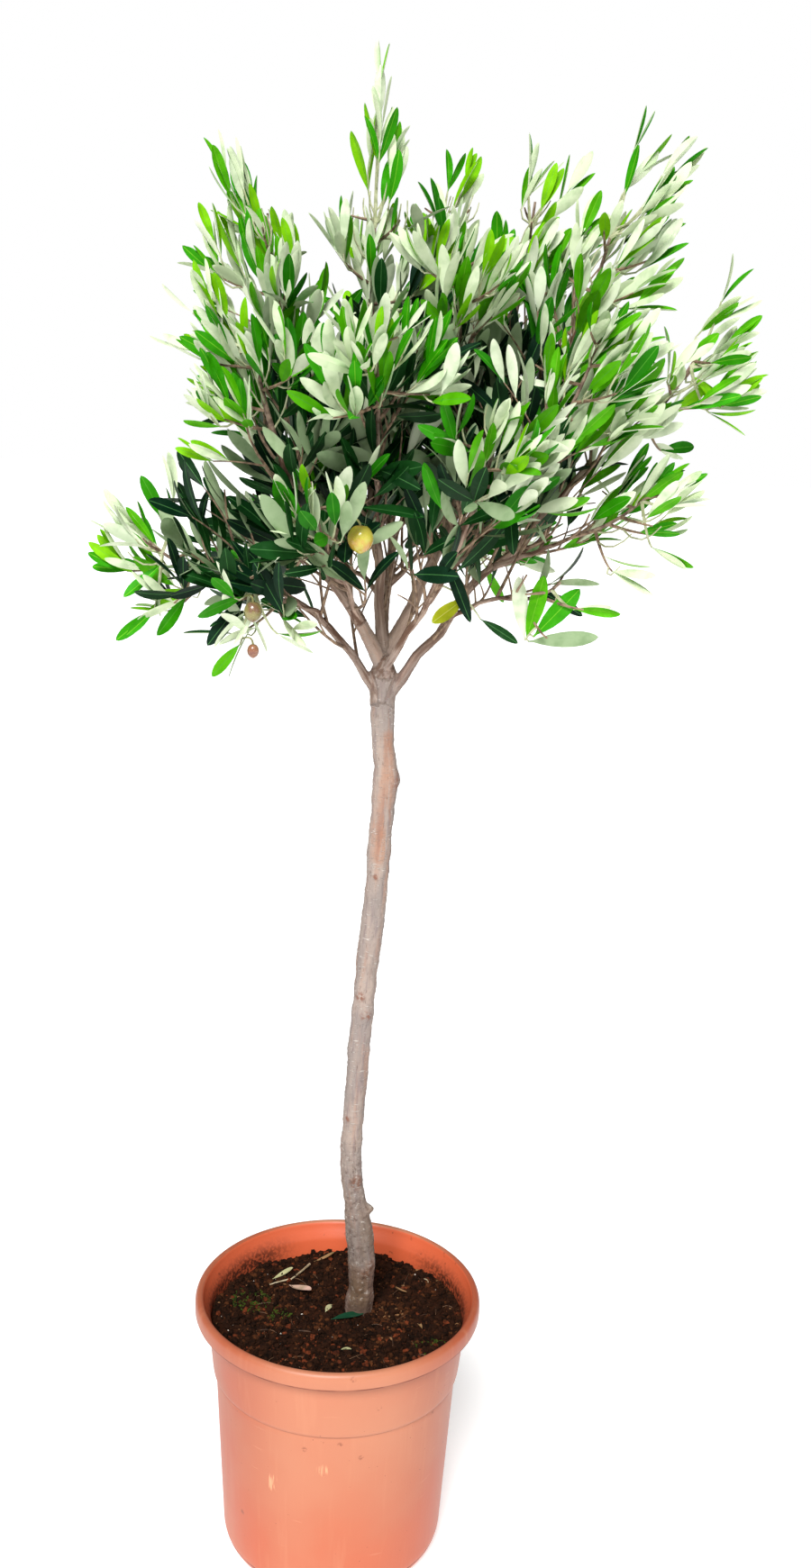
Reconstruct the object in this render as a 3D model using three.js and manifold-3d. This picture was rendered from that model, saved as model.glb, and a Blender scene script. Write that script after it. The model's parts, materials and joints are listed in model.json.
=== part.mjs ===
// A potted olive tree trained on one bare stem: a plastic pot, the soil in it, the trunk, its boughs and
// the masses of foliage that they carry.
// Millimetres, +Z up. The origin is the centre of the pot's flat underside. -Y is the front, and +X is to
// the right of someone who stands in front of the plant.
import * as THREE from "three";
import { mergeVertices } from "three/addons/utils/BufferGeometryUtils.js";
import Module from "manifold-3d";

const wasm = await Module();
wasm.setup();
const { Manifold, Mesh: SolidMesh } = wasm;

// ---- Driving dimensions ----

const GAP = 0.3; // between two pieces that touch
const POT_SIDES = 32;
const POT_HEIGHT = 270;
const RIM_RADIUS = 140;
const RIM_BAND = 17; // height of the thick band round the mouth
const RIM_LIP = 8; // width of the band's top
const COLLAR_DROP = 78; // from the top of the rim down to the step in the wall
const COLLAR_RADII = { top: 128, foot: 121.7 };
const BODY_RADII = { top: 119, low: 110, lowAt: 26 };
const FOOT = { radius: 97, corner: 9 };
const POT_WALL = 4;
const FLOOR = 4;
const DRAIN = { count: 6, radius: 6, sides: 8, at: 68 };

const SOIL_TOP = 242;
const SOIL_RELIEF = 4; // how far the soil's surface rises and falls
const SOIL_FLAT = 26; // radius of the level patch that the trunk stands on
const SOIL_RINGS = 4;

// The trunk's centre line: height, x, y and diameter. It starts below the soil's surface, where it is cut.
const TRUNK = [
  [224, 21, 12, 32],
  [244, 21, 12, 28],
  [268, 22, 12, 25],
  [300, 22, 11, 28],
  [328, 19, 10, 26.5],
  [360, 14, 9, 22],
  [410, 9, 8, 20.5],
  [530, 13, 5, 21.2],
  [671, 23, 2, 21.6],
  [786, 28.5, 0, 22.2],
  [822, 26, 0, 20.8],
  [866, 24, 0, 23.5],
  [888, 24, 0, 24],
  [900, 24, 0, 14],
];
const TRUNK_SIDES = 10;
const TRUNK_RINGS = 26;

const CROWN_CENTRE = new THREE.Vector3(45, 10, 1120);
const MASS_ENTRY = 0.7; // a bough ends at this share of its mass's radius from the centre
const BOUGH_RINGS = 6;
const BOUGH_KINK = 0.02; // how far a bough wanders from its arc, as a share of its length
// Where a mass's stem ends past the centre, along the bough and upward, and where it bends, in radii.
const STEM_END = { on: 0.3, up: 0.4, bend: 0.6 };
const SHOOTS = 5; // side shoots in each mass
const SHOOT_BIAS = { out: 0.35, up: 0.15 }; // how far side shoots lean out of the crown and upward
const SHOOT_REACH = [0.5, 0.75]; // how far side shoots run, as shares of the mass's radius
const SHOOT_RADII = { root: 0.4, base: 2, tip: 1.4 };
// Where a shoot has rings, as shares of its length. All but the stem start as a point inside the stem.
const SHOOT_RINGS = { stem: [0, 0.35, 0.7, 1], side: [0, 0.1, 1], leader: [0, 0.05, 0.5, 1] };
const LEAF = { length: 58, width: 18, thick: 1.4, arch: 0.03 };
const LEAF_OPENING = { side: [34, 54], tip: [14, 28] }; // degrees between a leaf and its shoot
const LEADER_LEAF = 0.8; // share of a leaf's length by which it stands out beyond the end of a leader
const PAIR_SPACING = 27; // between two pairs of leaves on a shoot
const LEAF_TRIES = 4; // how often a leaf may turn to find room

// Each row is a bough and the mass of foliage at its end. "from" is the limb that carries it and "at" the
// share of that limb's length where it leaves. "rise" is how steeply it leaves, in degrees above level.
// "thick" holds its diameters at the foot and the tip. "leaders" are long shoots, by where they end.
const BOUGHS = [
  { name: "left", from: "trunk", at: 0.975, rise: 56, thick: [14, 6],
    centre: [-86, -60, 1130], radius: 77, leaders: [[-171, -40, 1205], [-171, -50, 1155]] },
  { name: "centre_right", from: "trunk", at: 0.98, rise: 64, thick: [12.5, 5.5],
    centre: [136, 40, 1246], radius: 70, leaders: [[129, 40, 1344], [160, 40, 1320]] },
  { name: "centre_left", from: "trunk", at: 0.985, rise: 82, thick: [10.5, 5],
    centre: [4, 10, 1238], radius: 72, leaders: [[5, 10, 1415], [24, 4, 1350]] },
  { name: "low_left", from: "trunk", at: 0.84, rise: 60, thick: [9, 4.5],
    centre: [-164, -10, 972], radius: 65,
    leaders: [[-232, -10, 1005], [-184, -14, 902], [-154, -10, 1068]] },
  { name: "low_right", from: "trunk", at: 0.835, rise: 56, thick: [10.5, 5],
    centre: [270, 0, 1137], radius: 73, leaders: [[312, 0, 1249], [332, 0, 1169], [312, 0, 1092]] },
  { name: "right_inner", from: "trunk", at: 0.93, rise: 46, thick: [7.5, 4.5],
    centre: [106, -120, 1074], radius: 64, leaders: [] },
  { name: "back", from: "trunk", at: 0.9, rise: 60, thick: [11.5, 5.5],
    centre: [15, 165, 1165], radius: 78, leaders: [[0, 235, 1225]] },
  { name: "left_upper", from: "left", at: 0.62, rise: 74, thick: [6.5, 4],
    centre: [-82, 0, 1224], radius: 70, leaders: [[-123, 0, 1322], [-128, -10, 1262]] },
  { name: "left_back", from: "left", at: 0.3, rise: 50, thick: [7, 4],
    centre: [-105, 95, 1120], radius: 76, leaders: [[-160, 130, 1190]] },
  { name: "front_low", from: "left", at: 0.22, rise: 40, thick: [6, 4],
    centre: [-32, -110, 1027], radius: 52, leaders: [] },
  { name: "front_middle", from: "centre_left", at: 0.36, rise: 48, thick: [7, 4],
    centre: [15, -130, 1140], radius: 66, leaders: [] },
  { name: "front_upper", from: "centre_right", at: 0.55, rise: 60, thick: [6.5, 4],
    centre: [76, -65, 1200], radius: 66, leaders: [] },
  { name: "right_upper", from: "centre_right", at: 0.42, rise: 52, thick: [7.5, 4.2],
    centre: [197, -10, 1236], radius: 70, leaders: [[223, -10, 1366], [262, -10, 1340]] },
  { name: "back_top", from: "centre_right", at: 0.6, rise: 72, thick: [6, 4],
    centre: [62, 105, 1258], radius: 70, leaders: [[72, 120, 1345]] },
  { name: "right_front", from: "right_inner", at: 0.5, rise: 52, thick: [5.5, 3.8],
    centre: [181, -90, 1142], radius: 68, leaders: [] },
  { name: "left_inner", from: "low_left", at: 0.45, rise: 30, thick: [5.5, 3.8],
    centre: [-83, -70, 958], radius: 59, leaders: [[-102, -72, 884], [-48, -72, 898]] },
  { name: "right_lower", from: "low_right", at: 0.5, rise: 24, thick: [6, 3.8],
    centre: [233, -20, 1030], radius: 64, leaders: [[300, -20, 1038], [262, -24, 975]] },
  { name: "right_foot", from: "low_right", at: 0.3, rise: 26, thick: [5.5, 3.8],
    centre: [160, -60, 963], radius: 46, leaders: [[212, -62, 936]] },
  { name: "back_left", from: "back", at: 0.28, rise: 34, thick: [6, 3.8],
    centre: [-82, 118, 985], radius: 64, leaders: [[-140, 150, 1000]] },
  { name: "back_right", from: "back", at: 0.5, rise: 46, thick: [6.5, 4],
    centre: [150, 135, 1150], radius: 76, leaders: [[205, 170, 1215]] },
  { name: "back_low", from: "back", at: 0.34, rise: 32, thick: [6, 3.8],
    centre: [120, 125, 1005], radius: 64, leaders: [[180, 150, 1010]] },
];

// Fruit: the mass that bears it, where it hangs and how wide it is.
const FRUITS = [
  { on: "front_low", at: [4, -110, 1015], width: 18 },
  { on: "left_inner", at: [-84, -88, 950], width: 15 },
  { on: "left_inner", at: [-85, -74, 915], width: 10 },
];
const FRUIT_STALK = 1.1;

// ---- Colours and finishes ----

function finish(color, roughness) {
  return new THREE.MeshStandardMaterial({ color, roughness, metalness: 0 });
}

const FINISHES = {
  pot: finish(0xe8835f, 0.5),
  soil: finish(0x2b1a12, 1),
  bark: finish(0x9a8578, 0.85),
  leaf: finish(0x5f8f3c, 0.5),
};

// ---- Helpers ----

const UP = new THREE.Vector3(0, 0, 1);
const GOLDEN_ANGLE = Math.PI * (3 - Math.sqrt(5));
const vector = (xyz) => new THREE.Vector3(...xyz);
const mix = THREE.MathUtils.lerp;

/** Repeatable random numbers between 0 and 1. */
function randomFrom(seed) {
  const range = 2147483647;
  let state = (seed * 7919 + 104729) % range;
  return () => {
    state = (state * 48271) % range;
    return state / range;
  };
}

/** A closed BufferGeometry as a manifold-3d solid. */
function solidOf(geometry) {
  const bare = new THREE.BufferGeometry();
  bare.setAttribute("position", geometry.getAttribute("position"));
  bare.setIndex(geometry.getIndex());
  const merged = mergeVertices(bare, 1e-4);
  return new Manifold(
    new SolidMesh({
      numProp: 3,
      vertProperties: new Float32Array(merged.getAttribute("position").array),
      triVerts: new Uint32Array(merged.getIndex().array),
    }),
  );
}

/** The largest piece of a solid as a BufferGeometry. */
function geometryOf(solid) {
  const pieces = solid.decompose().sort((a, b) => b.volume() - a.volume());
  const mesh = pieces[0].getMesh();
  const positions = new Float32Array(mesh.numVert * 3);
  for (let i = 0; i < mesh.numVert; i++) {
    positions.set(mesh.vertProperties.subarray(i * mesh.numProp, i * mesh.numProp + 3), i * 3);
  }
  const geometry = new THREE.BufferGeometry();
  geometry.setAttribute("position", new THREE.BufferAttribute(positions, 3));
  geometry.setIndex(new THREE.BufferAttribute(mesh.triVerts, 1));
  geometry.computeVertexNormals();
  return geometry;
}

/** The unit tangents of a row of points. */
function tangentsOf(points) {
  return points.map((_, i) => {
    const before = points[Math.max(i - 1, 0)];
    const after = points[Math.min(i + 1, points.length - 1)];
    return after.clone().sub(before).normalize();
  });
}

/** A tube with flat ends round a row of points. The frame is carried along it without twist. */
function tube(points, radii, sides) {
  const tangents = tangentsOf(points);
  const across = new THREE.Vector3(1, 0, 0);
  if (Math.abs(tangents[0].x) > 0.8) across.set(0, 1, 0);
  const positions = [];
  points.forEach((point, i) => {
    across.addScaledVector(tangents[i], -across.dot(tangents[i])).normalize();
    const other = tangents[i].clone().cross(across);
    for (let j = 0; j < sides; j++) {
      const angle = (2 * Math.PI * j) / sides;
      const corner = point
        .clone()
        .addScaledVector(across, radii[i] * Math.cos(angle))
        .addScaledVector(other, radii[i] * Math.sin(angle));
      positions.push(corner.x, corner.y, corner.z);
    }
  });
  const faces = [];
  for (let i = 0; i < points.length - 1; i++) {
    for (let j = 0; j < sides; j++) {
      const a = i * sides + j;
      const b = i * sides + ((j + 1) % sides);
      faces.push(a, b, a + sides, b, b + sides, a + sides);
    }
  }
  const last = (points.length - 1) * sides;
  for (let j = 1; j < sides - 1; j++) {
    faces.push(0, j + 1, j, last, last + j, last + j + 1);
  }
  const geometry = new THREE.BufferGeometry();
  geometry.setAttribute("position", new THREE.Float32BufferAttribute(positions, 3));
  geometry.setIndex(faces);
  return geometry;
}

/** count + 1 points, evenly spaced in the curve's own parameter. */
function sample(curve, count) {
  return Array.from({ length: count + 1 }, (_, i) => curve.getPoint(i / count));
}

// ---- Pot and soil ----

/** The outer wall's radius at a height, below the rim band. */
function wallRadius(z) {
  const step = POT_HEIGHT - COLLAR_DROP;
  const band = POT_HEIGHT - RIM_BAND;
  if (z >= step) return mix(COLLAR_RADII.foot, COLLAR_RADII.top, (z - step) / (band - step));
  return mix(BODY_RADII.low, BODY_RADII.top, (z - BODY_RADII.lowAt) / (step - BODY_RADII.lowAt));
}

/** The inner wall's radius at a height, between the step and the rim band. */
function innerRadius(z) {
  const step = POT_HEIGHT - COLLAR_DROP;
  const band = POT_HEIGHT - RIM_BAND;
  return mix(BODY_RADII.top, COLLAR_RADII.top, (z - step) / (band - 3 - step)) - POT_WALL;
}

/** A profile of radius and height turned about Z. */
function turned(profile) {
  const points = profile.map(([r, z]) => new THREE.Vector2(r, z));
  return new THREE.LatheGeometry(points, POT_SIDES).rotateX(Math.PI / 2);
}

function potSolid() {
  const step = POT_HEIGHT - COLLAR_DROP;
  const band = POT_HEIGHT - RIM_BAND;
  const low = BODY_RADII.lowAt;
  const shell = solidOf(
    turned([
      [0, 0],
      [FOOT.radius, 0],
      [FOOT.radius + FOOT.corner, FOOT.corner],
      [BODY_RADII.low, low],
      [BODY_RADII.top, step - 2],
      [COLLAR_RADII.foot, step],
      [COLLAR_RADII.top, band],
      [RIM_RADIUS, band + 1],
      [RIM_RADIUS, POT_HEIGHT - 3],
      [RIM_RADIUS - 3, POT_HEIGHT],
      [RIM_RADIUS - RIM_LIP, POT_HEIGHT],
      [innerRadius(band - 3), band - 3],
      [innerRadius(step), step],
      [BODY_RADII.low - POT_WALL, low],
      [FOOT.radius + FOOT.corner - POT_WALL, FOOT.corner + 3],
      [FOOT.radius - POT_WALL, FLOOR],
      [0, FLOOR],
    ]),
  );
  const drains = Array.from({ length: DRAIN.count }, (_, i) => {
    const angle = (2 * Math.PI * (i + 0.5)) / DRAIN.count;
    const hole = new THREE.CylinderGeometry(DRAIN.radius, DRAIN.radius, 4 * FLOOR, DRAIN.sides);
    hole.rotateX(Math.PI / 2).translate(DRAIN.at * Math.cos(angle), DRAIN.at * Math.sin(angle), 0);
    return solidOf(hole);
  });
  return shell.subtract(Manifold.union(drains));
}

/** How far the soil's surface stands above its level patch. */
function soilRelief(x, y) {
  const [, trunkX, trunkY] = TRUNK[1];
  const away = Math.hypot(x - trunkX, y - trunkY);
  const fade = THREE.MathUtils.smoothstep(away, SOIL_FLAT, SOIL_FLAT + 25);
  const waves = Math.sin(x / 23 + 1.1) * Math.cos(y / 19) + 0.6 * Math.sin((x + y) / 11 + 0.4);
  return (SOIL_RELIEF / 1.6) * fade * (waves - y / 100);
}

function soilGeometry() {
  const clear = POT_WALL + GAP;
  const step = POT_HEIGHT - COLLAR_DROP;
  const edge = innerRadius(SOIL_TOP - 3 * SOIL_RELIEF) - 2 * GAP;
  const surface = Array.from({ length: SOIL_RINGS }, (_, i) => [edge * (1 - i / SOIL_RINGS), SOIL_TOP]);
  const geometry = turned([
    [0, FLOOR + GAP],
    [FOOT.radius - clear - 1, FLOOR + GAP],
    [FOOT.radius + FOOT.corner - clear - 0.5, FOOT.corner + 3 + GAP],
    [BODY_RADII.low - clear, BODY_RADII.lowAt],
    [innerRadius(step) - GAP, step],
    ...surface,
    [0, SOIL_TOP],
  ]);
  const position = geometry.getAttribute("position");
  for (let i = 0; i < position.count; i++) {
    if (position.getZ(i) < SOIL_TOP - 1) continue;
    position.setZ(i, SOIL_TOP + soilRelief(position.getX(i), position.getY(i)));
  }
  return geometry;
}

// ---- Trunk and boughs ----

/** A limb: a curve with a radius along it. */
class Limb {
  constructor(curve, radiusAt, sides, rings) {
    Object.assign(this, { curve, radiusAt, sides, rings });
  }

  /** The limb's solid, with "grow" added to its radius. */
  solid(grow = 0) {
    const points = sample(this.curve, this.rings);
    const radii = points.map((_, i) => this.radiusAt(i / this.rings) + grow);
    if (grow) {
      const ends = tangentsOf(points);
      points[points.length - 1].addScaledVector(ends[points.length - 1], grow);
    }
    return solidOf(tube(points, radii, this.sides));
  }
}

function trunkLimb() {
  const points = TRUNK.map(([z, x, y]) => new THREE.Vector3(x, y, z));
  const curve = new THREE.CatmullRomCurve3(points, false, "catmullrom");
  const radiusAt = (t) => {
    const place = t * (TRUNK.length - 1);
    const i = Math.min(Math.floor(place), TRUNK.length - 2);
    return mix(TRUNK[i][3], TRUNK[i + 1][3], place - i) / 2;
  };
  return new Limb(curve, radiusAt, TRUNK_SIDES, TRUNK_RINGS);
}

/** An arc that leaves at "rise", ends in the mirror of that angle, and wanders a little on the way. */
class BoughCurve extends THREE.Curve {
  constructor(start, row, random) {
    super();
    const centre = vector(row.centre);
    const chord = centre.clone().sub(start);
    const level = new THREE.Vector3(chord.x, chord.y, 0).normalize();
    const leave = THREE.MathUtils.degToRad(row.rise);
    const arrive = 2 * Math.atan2(chord.z, Math.hypot(chord.x, chord.y)) - leave;
    const heading = (angle) => {
      return level.clone().multiplyScalar(Math.cos(angle)).addScaledVector(UP, Math.sin(angle));
    };
    this.arrival = heading(arrive);
    const tip = centre.clone().addScaledVector(this.arrival, -MASS_ENTRY * row.radius);
    this.reach = tip.distanceTo(start);
    this.arc = new THREE.CubicBezierCurve3(
      start,
      start.clone().addScaledVector(heading(leave), this.reach / 3),
      tip.clone().addScaledVector(this.arrival, -this.reach / 3),
      tip,
    );
    this.side = level.cross(UP);
    this.phases = [random() * 2 * Math.PI, random() * 2 * Math.PI];
  }

  getPoint(t, target = new THREE.Vector3()) {
    const sway = BOUGH_KINK * this.reach * Math.sin(Math.PI * t) ** 2;
    this.arc.getPoint(t, target);
    target.addScaledVector(this.side, sway * Math.sin(3 * Math.PI * t + this.phases[0]));
    return target.addScaledVector(UP, 0.6 * sway * Math.sin(5 * Math.PI * t + this.phases[1]));
  }
}

function boughLimb(row, parent, random) {
  const [foot, tip] = row.thick;
  const collar = 0.25 * foot; // the swelling where the bough leaves its parent
  const radiusAt = (t) => (mix(foot, tip, t ** 0.8) + collar * Math.exp(-14 * t)) / 2;
  const curve = new BoughCurve(parent.curve.getPoint(row.at), row, random);
  return new Limb(curve, radiusAt, foot > 8 ? 8 : 6, BOUGH_RINGS);
}

// ---- Foliage ----

/** True where a point is in this mass's own space: nearer to its sphere than to any other mass's. */
function inOwnSpace(point, row) {
  const own = point.distanceToSquared(vector(row.centre)) - row.radius ** 2;
  return BOUGHS.every((other) => {
    if (other === row) return true;
    const apart = 2 * vector(row.centre).distanceTo(vector(other.centre));
    const theirs = point.distanceToSquared(vector(other.centre)) - other.radius ** 2;
    return (theirs - own) / apart > GAP;
  });
}

/** The corners of a leaf that grows from "root" along "along", with its ridge toward "face". */
function leafCorners(root, along, face, length) {
  const side = face.clone().cross(along).normalize();
  const width = (LEAF.width * length) / LEAF.length / 2;
  const arch = LEAF.arch * length;
  const at = (x, y, z) =>
    root.clone().addScaledVector(along, x).addScaledVector(side, y).addScaledVector(face, z);
  return [
    root.clone(),
    at(length, 0, -arch),
    at(0.48 * length, width, 0),
    at(0.48 * length, -width, 0),
    at(0.46 * length, 0, LEAF.thick),
  ];
}

function leafGeometry(points) {
  const geometry = new THREE.BufferGeometry();
  geometry.setFromPoints(points);
  geometry.setIndex([0, 3, 4, 3, 1, 4, 1, 2, 4, 2, 0, 4, 0, 2, 3, 1, 3, 2]);
  return geometry;
}

/** The shoots of a mass: its stem first, then the side shoots, then the leaders. */
function shootsOf(row, bough, random) {
  const centre = vector(row.centre);
  const { arrival } = bough.curve;
  const foot = bough.curve.getPoint(1).addScaledVector(arrival, GAP);
  const end = centre.clone().addScaledVector(arrival, STEM_END.on * row.radius);
  end.addScaledVector(UP, STEM_END.up * row.radius);
  const stem = new THREE.QuadraticBezierCurve3(
    foot,
    foot.clone().addScaledVector(arrival, STEM_END.bend * row.radius),
    end,
  );
  const shoots = [{ curve: stem, base: row.thick[1] / 2, root: row.thick[1] / 2, rings: SHOOT_RINGS.stem }];
  const outward = centre.clone().sub(CROWN_CENTRE).normalize();
  const turn = random() * 2 * Math.PI;
  const ascending = (start, target) => {
    const way = target.clone().sub(start);
    const bend = start.clone().addScaledVector(way, 0.55).addScaledVector(UP, -0.3 * Math.abs(way.z));
    return new THREE.QuadraticBezierCurve3(start, bend, target);
  };
  for (let k = 0; k < SHOOTS; k++) {
    const z = 1 - (2 * k + 1) / SHOOTS;
    const angle = turn + k * GOLDEN_ANGLE;
    const level = Math.sqrt(1 - z * z);
    const toward = new THREE.Vector3(level * Math.cos(angle), level * Math.sin(angle), z);
    toward.addScaledVector(outward, SHOOT_BIAS.out).addScaledVector(UP, SHOOT_BIAS.up).normalize();
    const target = centre.clone().addScaledVector(toward, row.radius * mix(...SHOOT_REACH, random()));
    const start = stem.getPoint(mix(0.85, 0.2, k / (SHOOTS - 1)));
    shoots.push({ ...SHOOT_RADII, curve: ascending(start, target), rings: SHOOT_RINGS.side });
  }
  for (const tip of row.leaders.map(vector)) {
    const start = stem.getPoint(0.8);
    const back = start.clone().sub(tip).setLength(LEADER_LEAF * LEAF.length);
    shoots.push({ ...SHOOT_RADII, curve: ascending(start, tip.add(back)), rings: SHOOT_RINGS.leader });
  }
  return shoots;
}

/** Where the leaves of a shoot grow: crossed pairs from its tip down. */
function leafPlaces(shoot, random) {
  const length = shoot.curve.getLength();
  const pairs = Math.floor((0.78 * length) / PAIR_SPACING) + 1;
  let turn = random() * Math.PI;
  return Array.from({ length: pairs }, (_, i) => {
    const t = Math.max(0.97 - (i * PAIR_SPACING) / length, 0.12);
    turn += Math.PI / 2;
    return { root: shoot.curve.getPointAt(t), tangent: shoot.curve.getTangentAt(t), turn, isTip: i === 0 };
  }).flatMap((place) => [place, { ...place, turn: place.turn + Math.PI }]);
}

/** One leaf at a place, turned a little at random. */
function leafAt({ root, tangent, turn, isTip }, random) {
  const across = new THREE.Vector3(1, 0, 0).cross(tangent).normalize();
  const out = across.applyAxisAngle(tangent, turn + (random() - 0.5));
  const open = THREE.MathUtils.degToRad(mix(...(isTip ? LEAF_OPENING.tip : LEAF_OPENING.side), random()));
  const along = tangent.clone().multiplyScalar(Math.cos(open)).addScaledVector(out, Math.sin(open));
  const face = tangent.clone().multiplyScalar(Math.sin(open)).addScaledVector(out, -Math.cos(open));
  return leafCorners(root, along, face, LEAF.length * mix(0.78, 1.08, random()) * (isTip ? 0.85 : 1));
}

/** The mass of foliage at the end of a bough. What would leave its space or touch a limb is left out. */
function massSolid(row, bough, limbs, random) {
  const meets = (one, other) => !one.intersect(other).isEmpty();
  const shoots = shootsOf(row, bough, random)
    .map((shoot) => {
      const points = shoot.rings.map((t) => shoot.curve.getPoint(t));
      const radii = shoot.rings.map((t) => (t ? mix(shoot.base, SHOOT_RADII.tip, t) : shoot.root));
      return { ...shoot, points, twig: solidOf(tube(points, radii, 3)) };
    })
    .filter(({ points, twig }, i) => {
      return i === 0 || (points.every((point) => inOwnSpace(point, row)) && !meets(twig, limbs));
    });
  const leaves = [];
  for (const shoot of shoots) {
    const others = shoots.filter((other) => other !== shoot).map(({ twig }) => twig);
    for (const place of leafPlaces(shoot, random)) {
      for (let i = 0; i < LEAF_TRIES; i++) {
        const corners = leafAt(place, random);
        if (!corners.every((corner) => inOwnSpace(corner, row))) continue;
        const leaf = solidOf(leafGeometry(corners));
        if ([limbs, ...others, ...leaves].some((other) => meets(leaf, other))) continue;
        leaves.push(leaf);
        break;
      }
    }
  }
  const fruits = FRUITS.filter(({ on }) => on === row.name).map((fruit) => fruitSolid(fruit, shoots[0]));
  return Manifold.union([...shoots.map(({ twig }) => twig), ...leaves, ...fruits]);
}

/** A fruit, and the stalk that holds it to the nearest point of the mass's stem. */
function fruitSolid({ at, width }, stem) {
  const middle = vector(at);
  const nearest = [...stem.points].sort((a, b) => a.distanceTo(middle) - b.distanceTo(middle))[0];
  const ball = solidOf(new THREE.IcosahedronGeometry(width / 2, 1).translate(...at));
  return ball.add(solidOf(tube([nearest, middle], [FRUIT_STALK, FRUIT_STALK], 3)));
}

// ---- The tree ----

/** A THREE.Group of meshes in one finish, from names and their geometries. */
function family(prefix, material, geometries) {
  const group = new THREE.Group();
  for (const [name, geometry] of geometries) {
    const mesh = new THREE.Mesh(geometry, material);
    mesh.name = prefix + name;
    group.add(mesh);
  }
  return group;
}

function oliveTree() {
  const trunk = trunkLimb();
  const ground = SOIL_TOP + GAP;
  const cutTrunk = (grow) => trunk.solid(grow).trimByPlane([0, 0, 1], ground - grow);
  const limbs = new Map([["trunk", trunk]]);
  let kept = cutTrunk(GAP); // what the next limb keeps clear of
  const boughs = BOUGHS.map((row, i) => {
    const bough = boughLimb(row, limbs.get(row.from), randomFrom(i + 1));
    limbs.set(row.name, bough);
    const geometry = geometryOf(bough.solid().subtract(kept));
    kept = kept.add(bough.solid(GAP));
    return [row.name, geometry];
  });
  const masses = BOUGHS.map((row, i) => {
    return [row.name, geometryOf(massSolid(row, limbs.get(row.name), kept, randomFrom(100 + i)))];
  });
  return new THREE.Group().add(
    family("", FINISHES.pot, [["pot", geometryOf(potSolid())]]),
    family("", FINISHES.soil, [["soil", soilGeometry()]]),
    family("", FINISHES.bark, [["trunk", geometryOf(cutTrunk(0))]]),
    family("bough_", FINISHES.bark, boughs),
    family("foliage_", FINISHES.leaf, masses),
  );
}

export default oliveTree();
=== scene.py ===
"""A potted olive tree trained on one bare stem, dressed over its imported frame.

Lengths are millimetres until a mesh is made, which is in metres. +Z is up, -Y is the front, and the origin is
the centre of the pot's flat underside. The limbs, the masses of foliage and their shoots grow by the frame's
own rule, and are carried on here to finer twigs and to leaves of nearly life size.
"""

import json
import logging
import math
from dataclasses import dataclass, field
from enum import Enum
from typing import Any, Callable, Iterator, Sequence, Union

import bpy
import numpy as np
from mathutils import Matrix, Vector, noise
from mathutils.kdtree import KDTree

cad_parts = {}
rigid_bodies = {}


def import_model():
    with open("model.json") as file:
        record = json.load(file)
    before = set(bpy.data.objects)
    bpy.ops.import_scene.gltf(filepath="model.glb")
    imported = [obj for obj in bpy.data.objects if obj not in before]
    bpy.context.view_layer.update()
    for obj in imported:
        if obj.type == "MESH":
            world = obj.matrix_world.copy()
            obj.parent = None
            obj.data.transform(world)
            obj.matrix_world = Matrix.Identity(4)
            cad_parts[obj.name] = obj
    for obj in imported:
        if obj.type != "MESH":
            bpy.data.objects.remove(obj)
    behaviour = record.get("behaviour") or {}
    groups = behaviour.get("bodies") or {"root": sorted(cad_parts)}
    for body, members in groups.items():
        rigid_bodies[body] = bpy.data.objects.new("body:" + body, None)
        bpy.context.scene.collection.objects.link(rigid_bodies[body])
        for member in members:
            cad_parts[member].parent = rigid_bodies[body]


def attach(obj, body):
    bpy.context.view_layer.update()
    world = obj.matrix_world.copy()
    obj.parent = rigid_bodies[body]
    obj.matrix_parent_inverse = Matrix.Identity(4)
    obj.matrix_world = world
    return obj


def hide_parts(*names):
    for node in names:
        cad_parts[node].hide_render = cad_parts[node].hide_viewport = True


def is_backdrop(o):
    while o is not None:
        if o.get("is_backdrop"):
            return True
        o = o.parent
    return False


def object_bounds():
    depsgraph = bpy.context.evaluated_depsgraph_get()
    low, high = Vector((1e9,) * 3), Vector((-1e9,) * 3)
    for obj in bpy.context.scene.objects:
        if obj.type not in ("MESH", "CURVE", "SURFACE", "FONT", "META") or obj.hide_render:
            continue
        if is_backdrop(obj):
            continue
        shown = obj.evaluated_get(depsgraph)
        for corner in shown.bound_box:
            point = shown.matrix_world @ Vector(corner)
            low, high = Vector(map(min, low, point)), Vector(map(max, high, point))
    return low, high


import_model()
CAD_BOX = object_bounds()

LOG = logging.getLogger("olive")

MM = 0.001
UP = np.array((0.0, 0.0, 1.0))
GOLDEN_ANGLE = math.pi * (3 - math.sqrt(5))
SIDEWAYS = (1.0, 0.0, 0.0)
SLANTED = (0.3, 0.9, 0.1)
HAIR = 1e-6

Colour = tuple[float, float, float, float]
Row3 = tuple[float, float, float]
Span = tuple[float, float]
Array = np.ndarray
Piece = bpy.types.Object
Material = bpy.types.Material


def paint(red: int, green: int, blue: int) -> Colour:
    """A shader colour from the 0 to 255 values that a screen shows."""

    def linear(value: int) -> float:
        """One channel without its display curve."""
        share = value / 255
        return share / 12.92 if share <= 0.04045 else ((share + 0.055) / 1.055) ** 2.4

    return (linear(red), linear(green), linear(blue), 1.0)


# ---- Shader nodes ----


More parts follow.
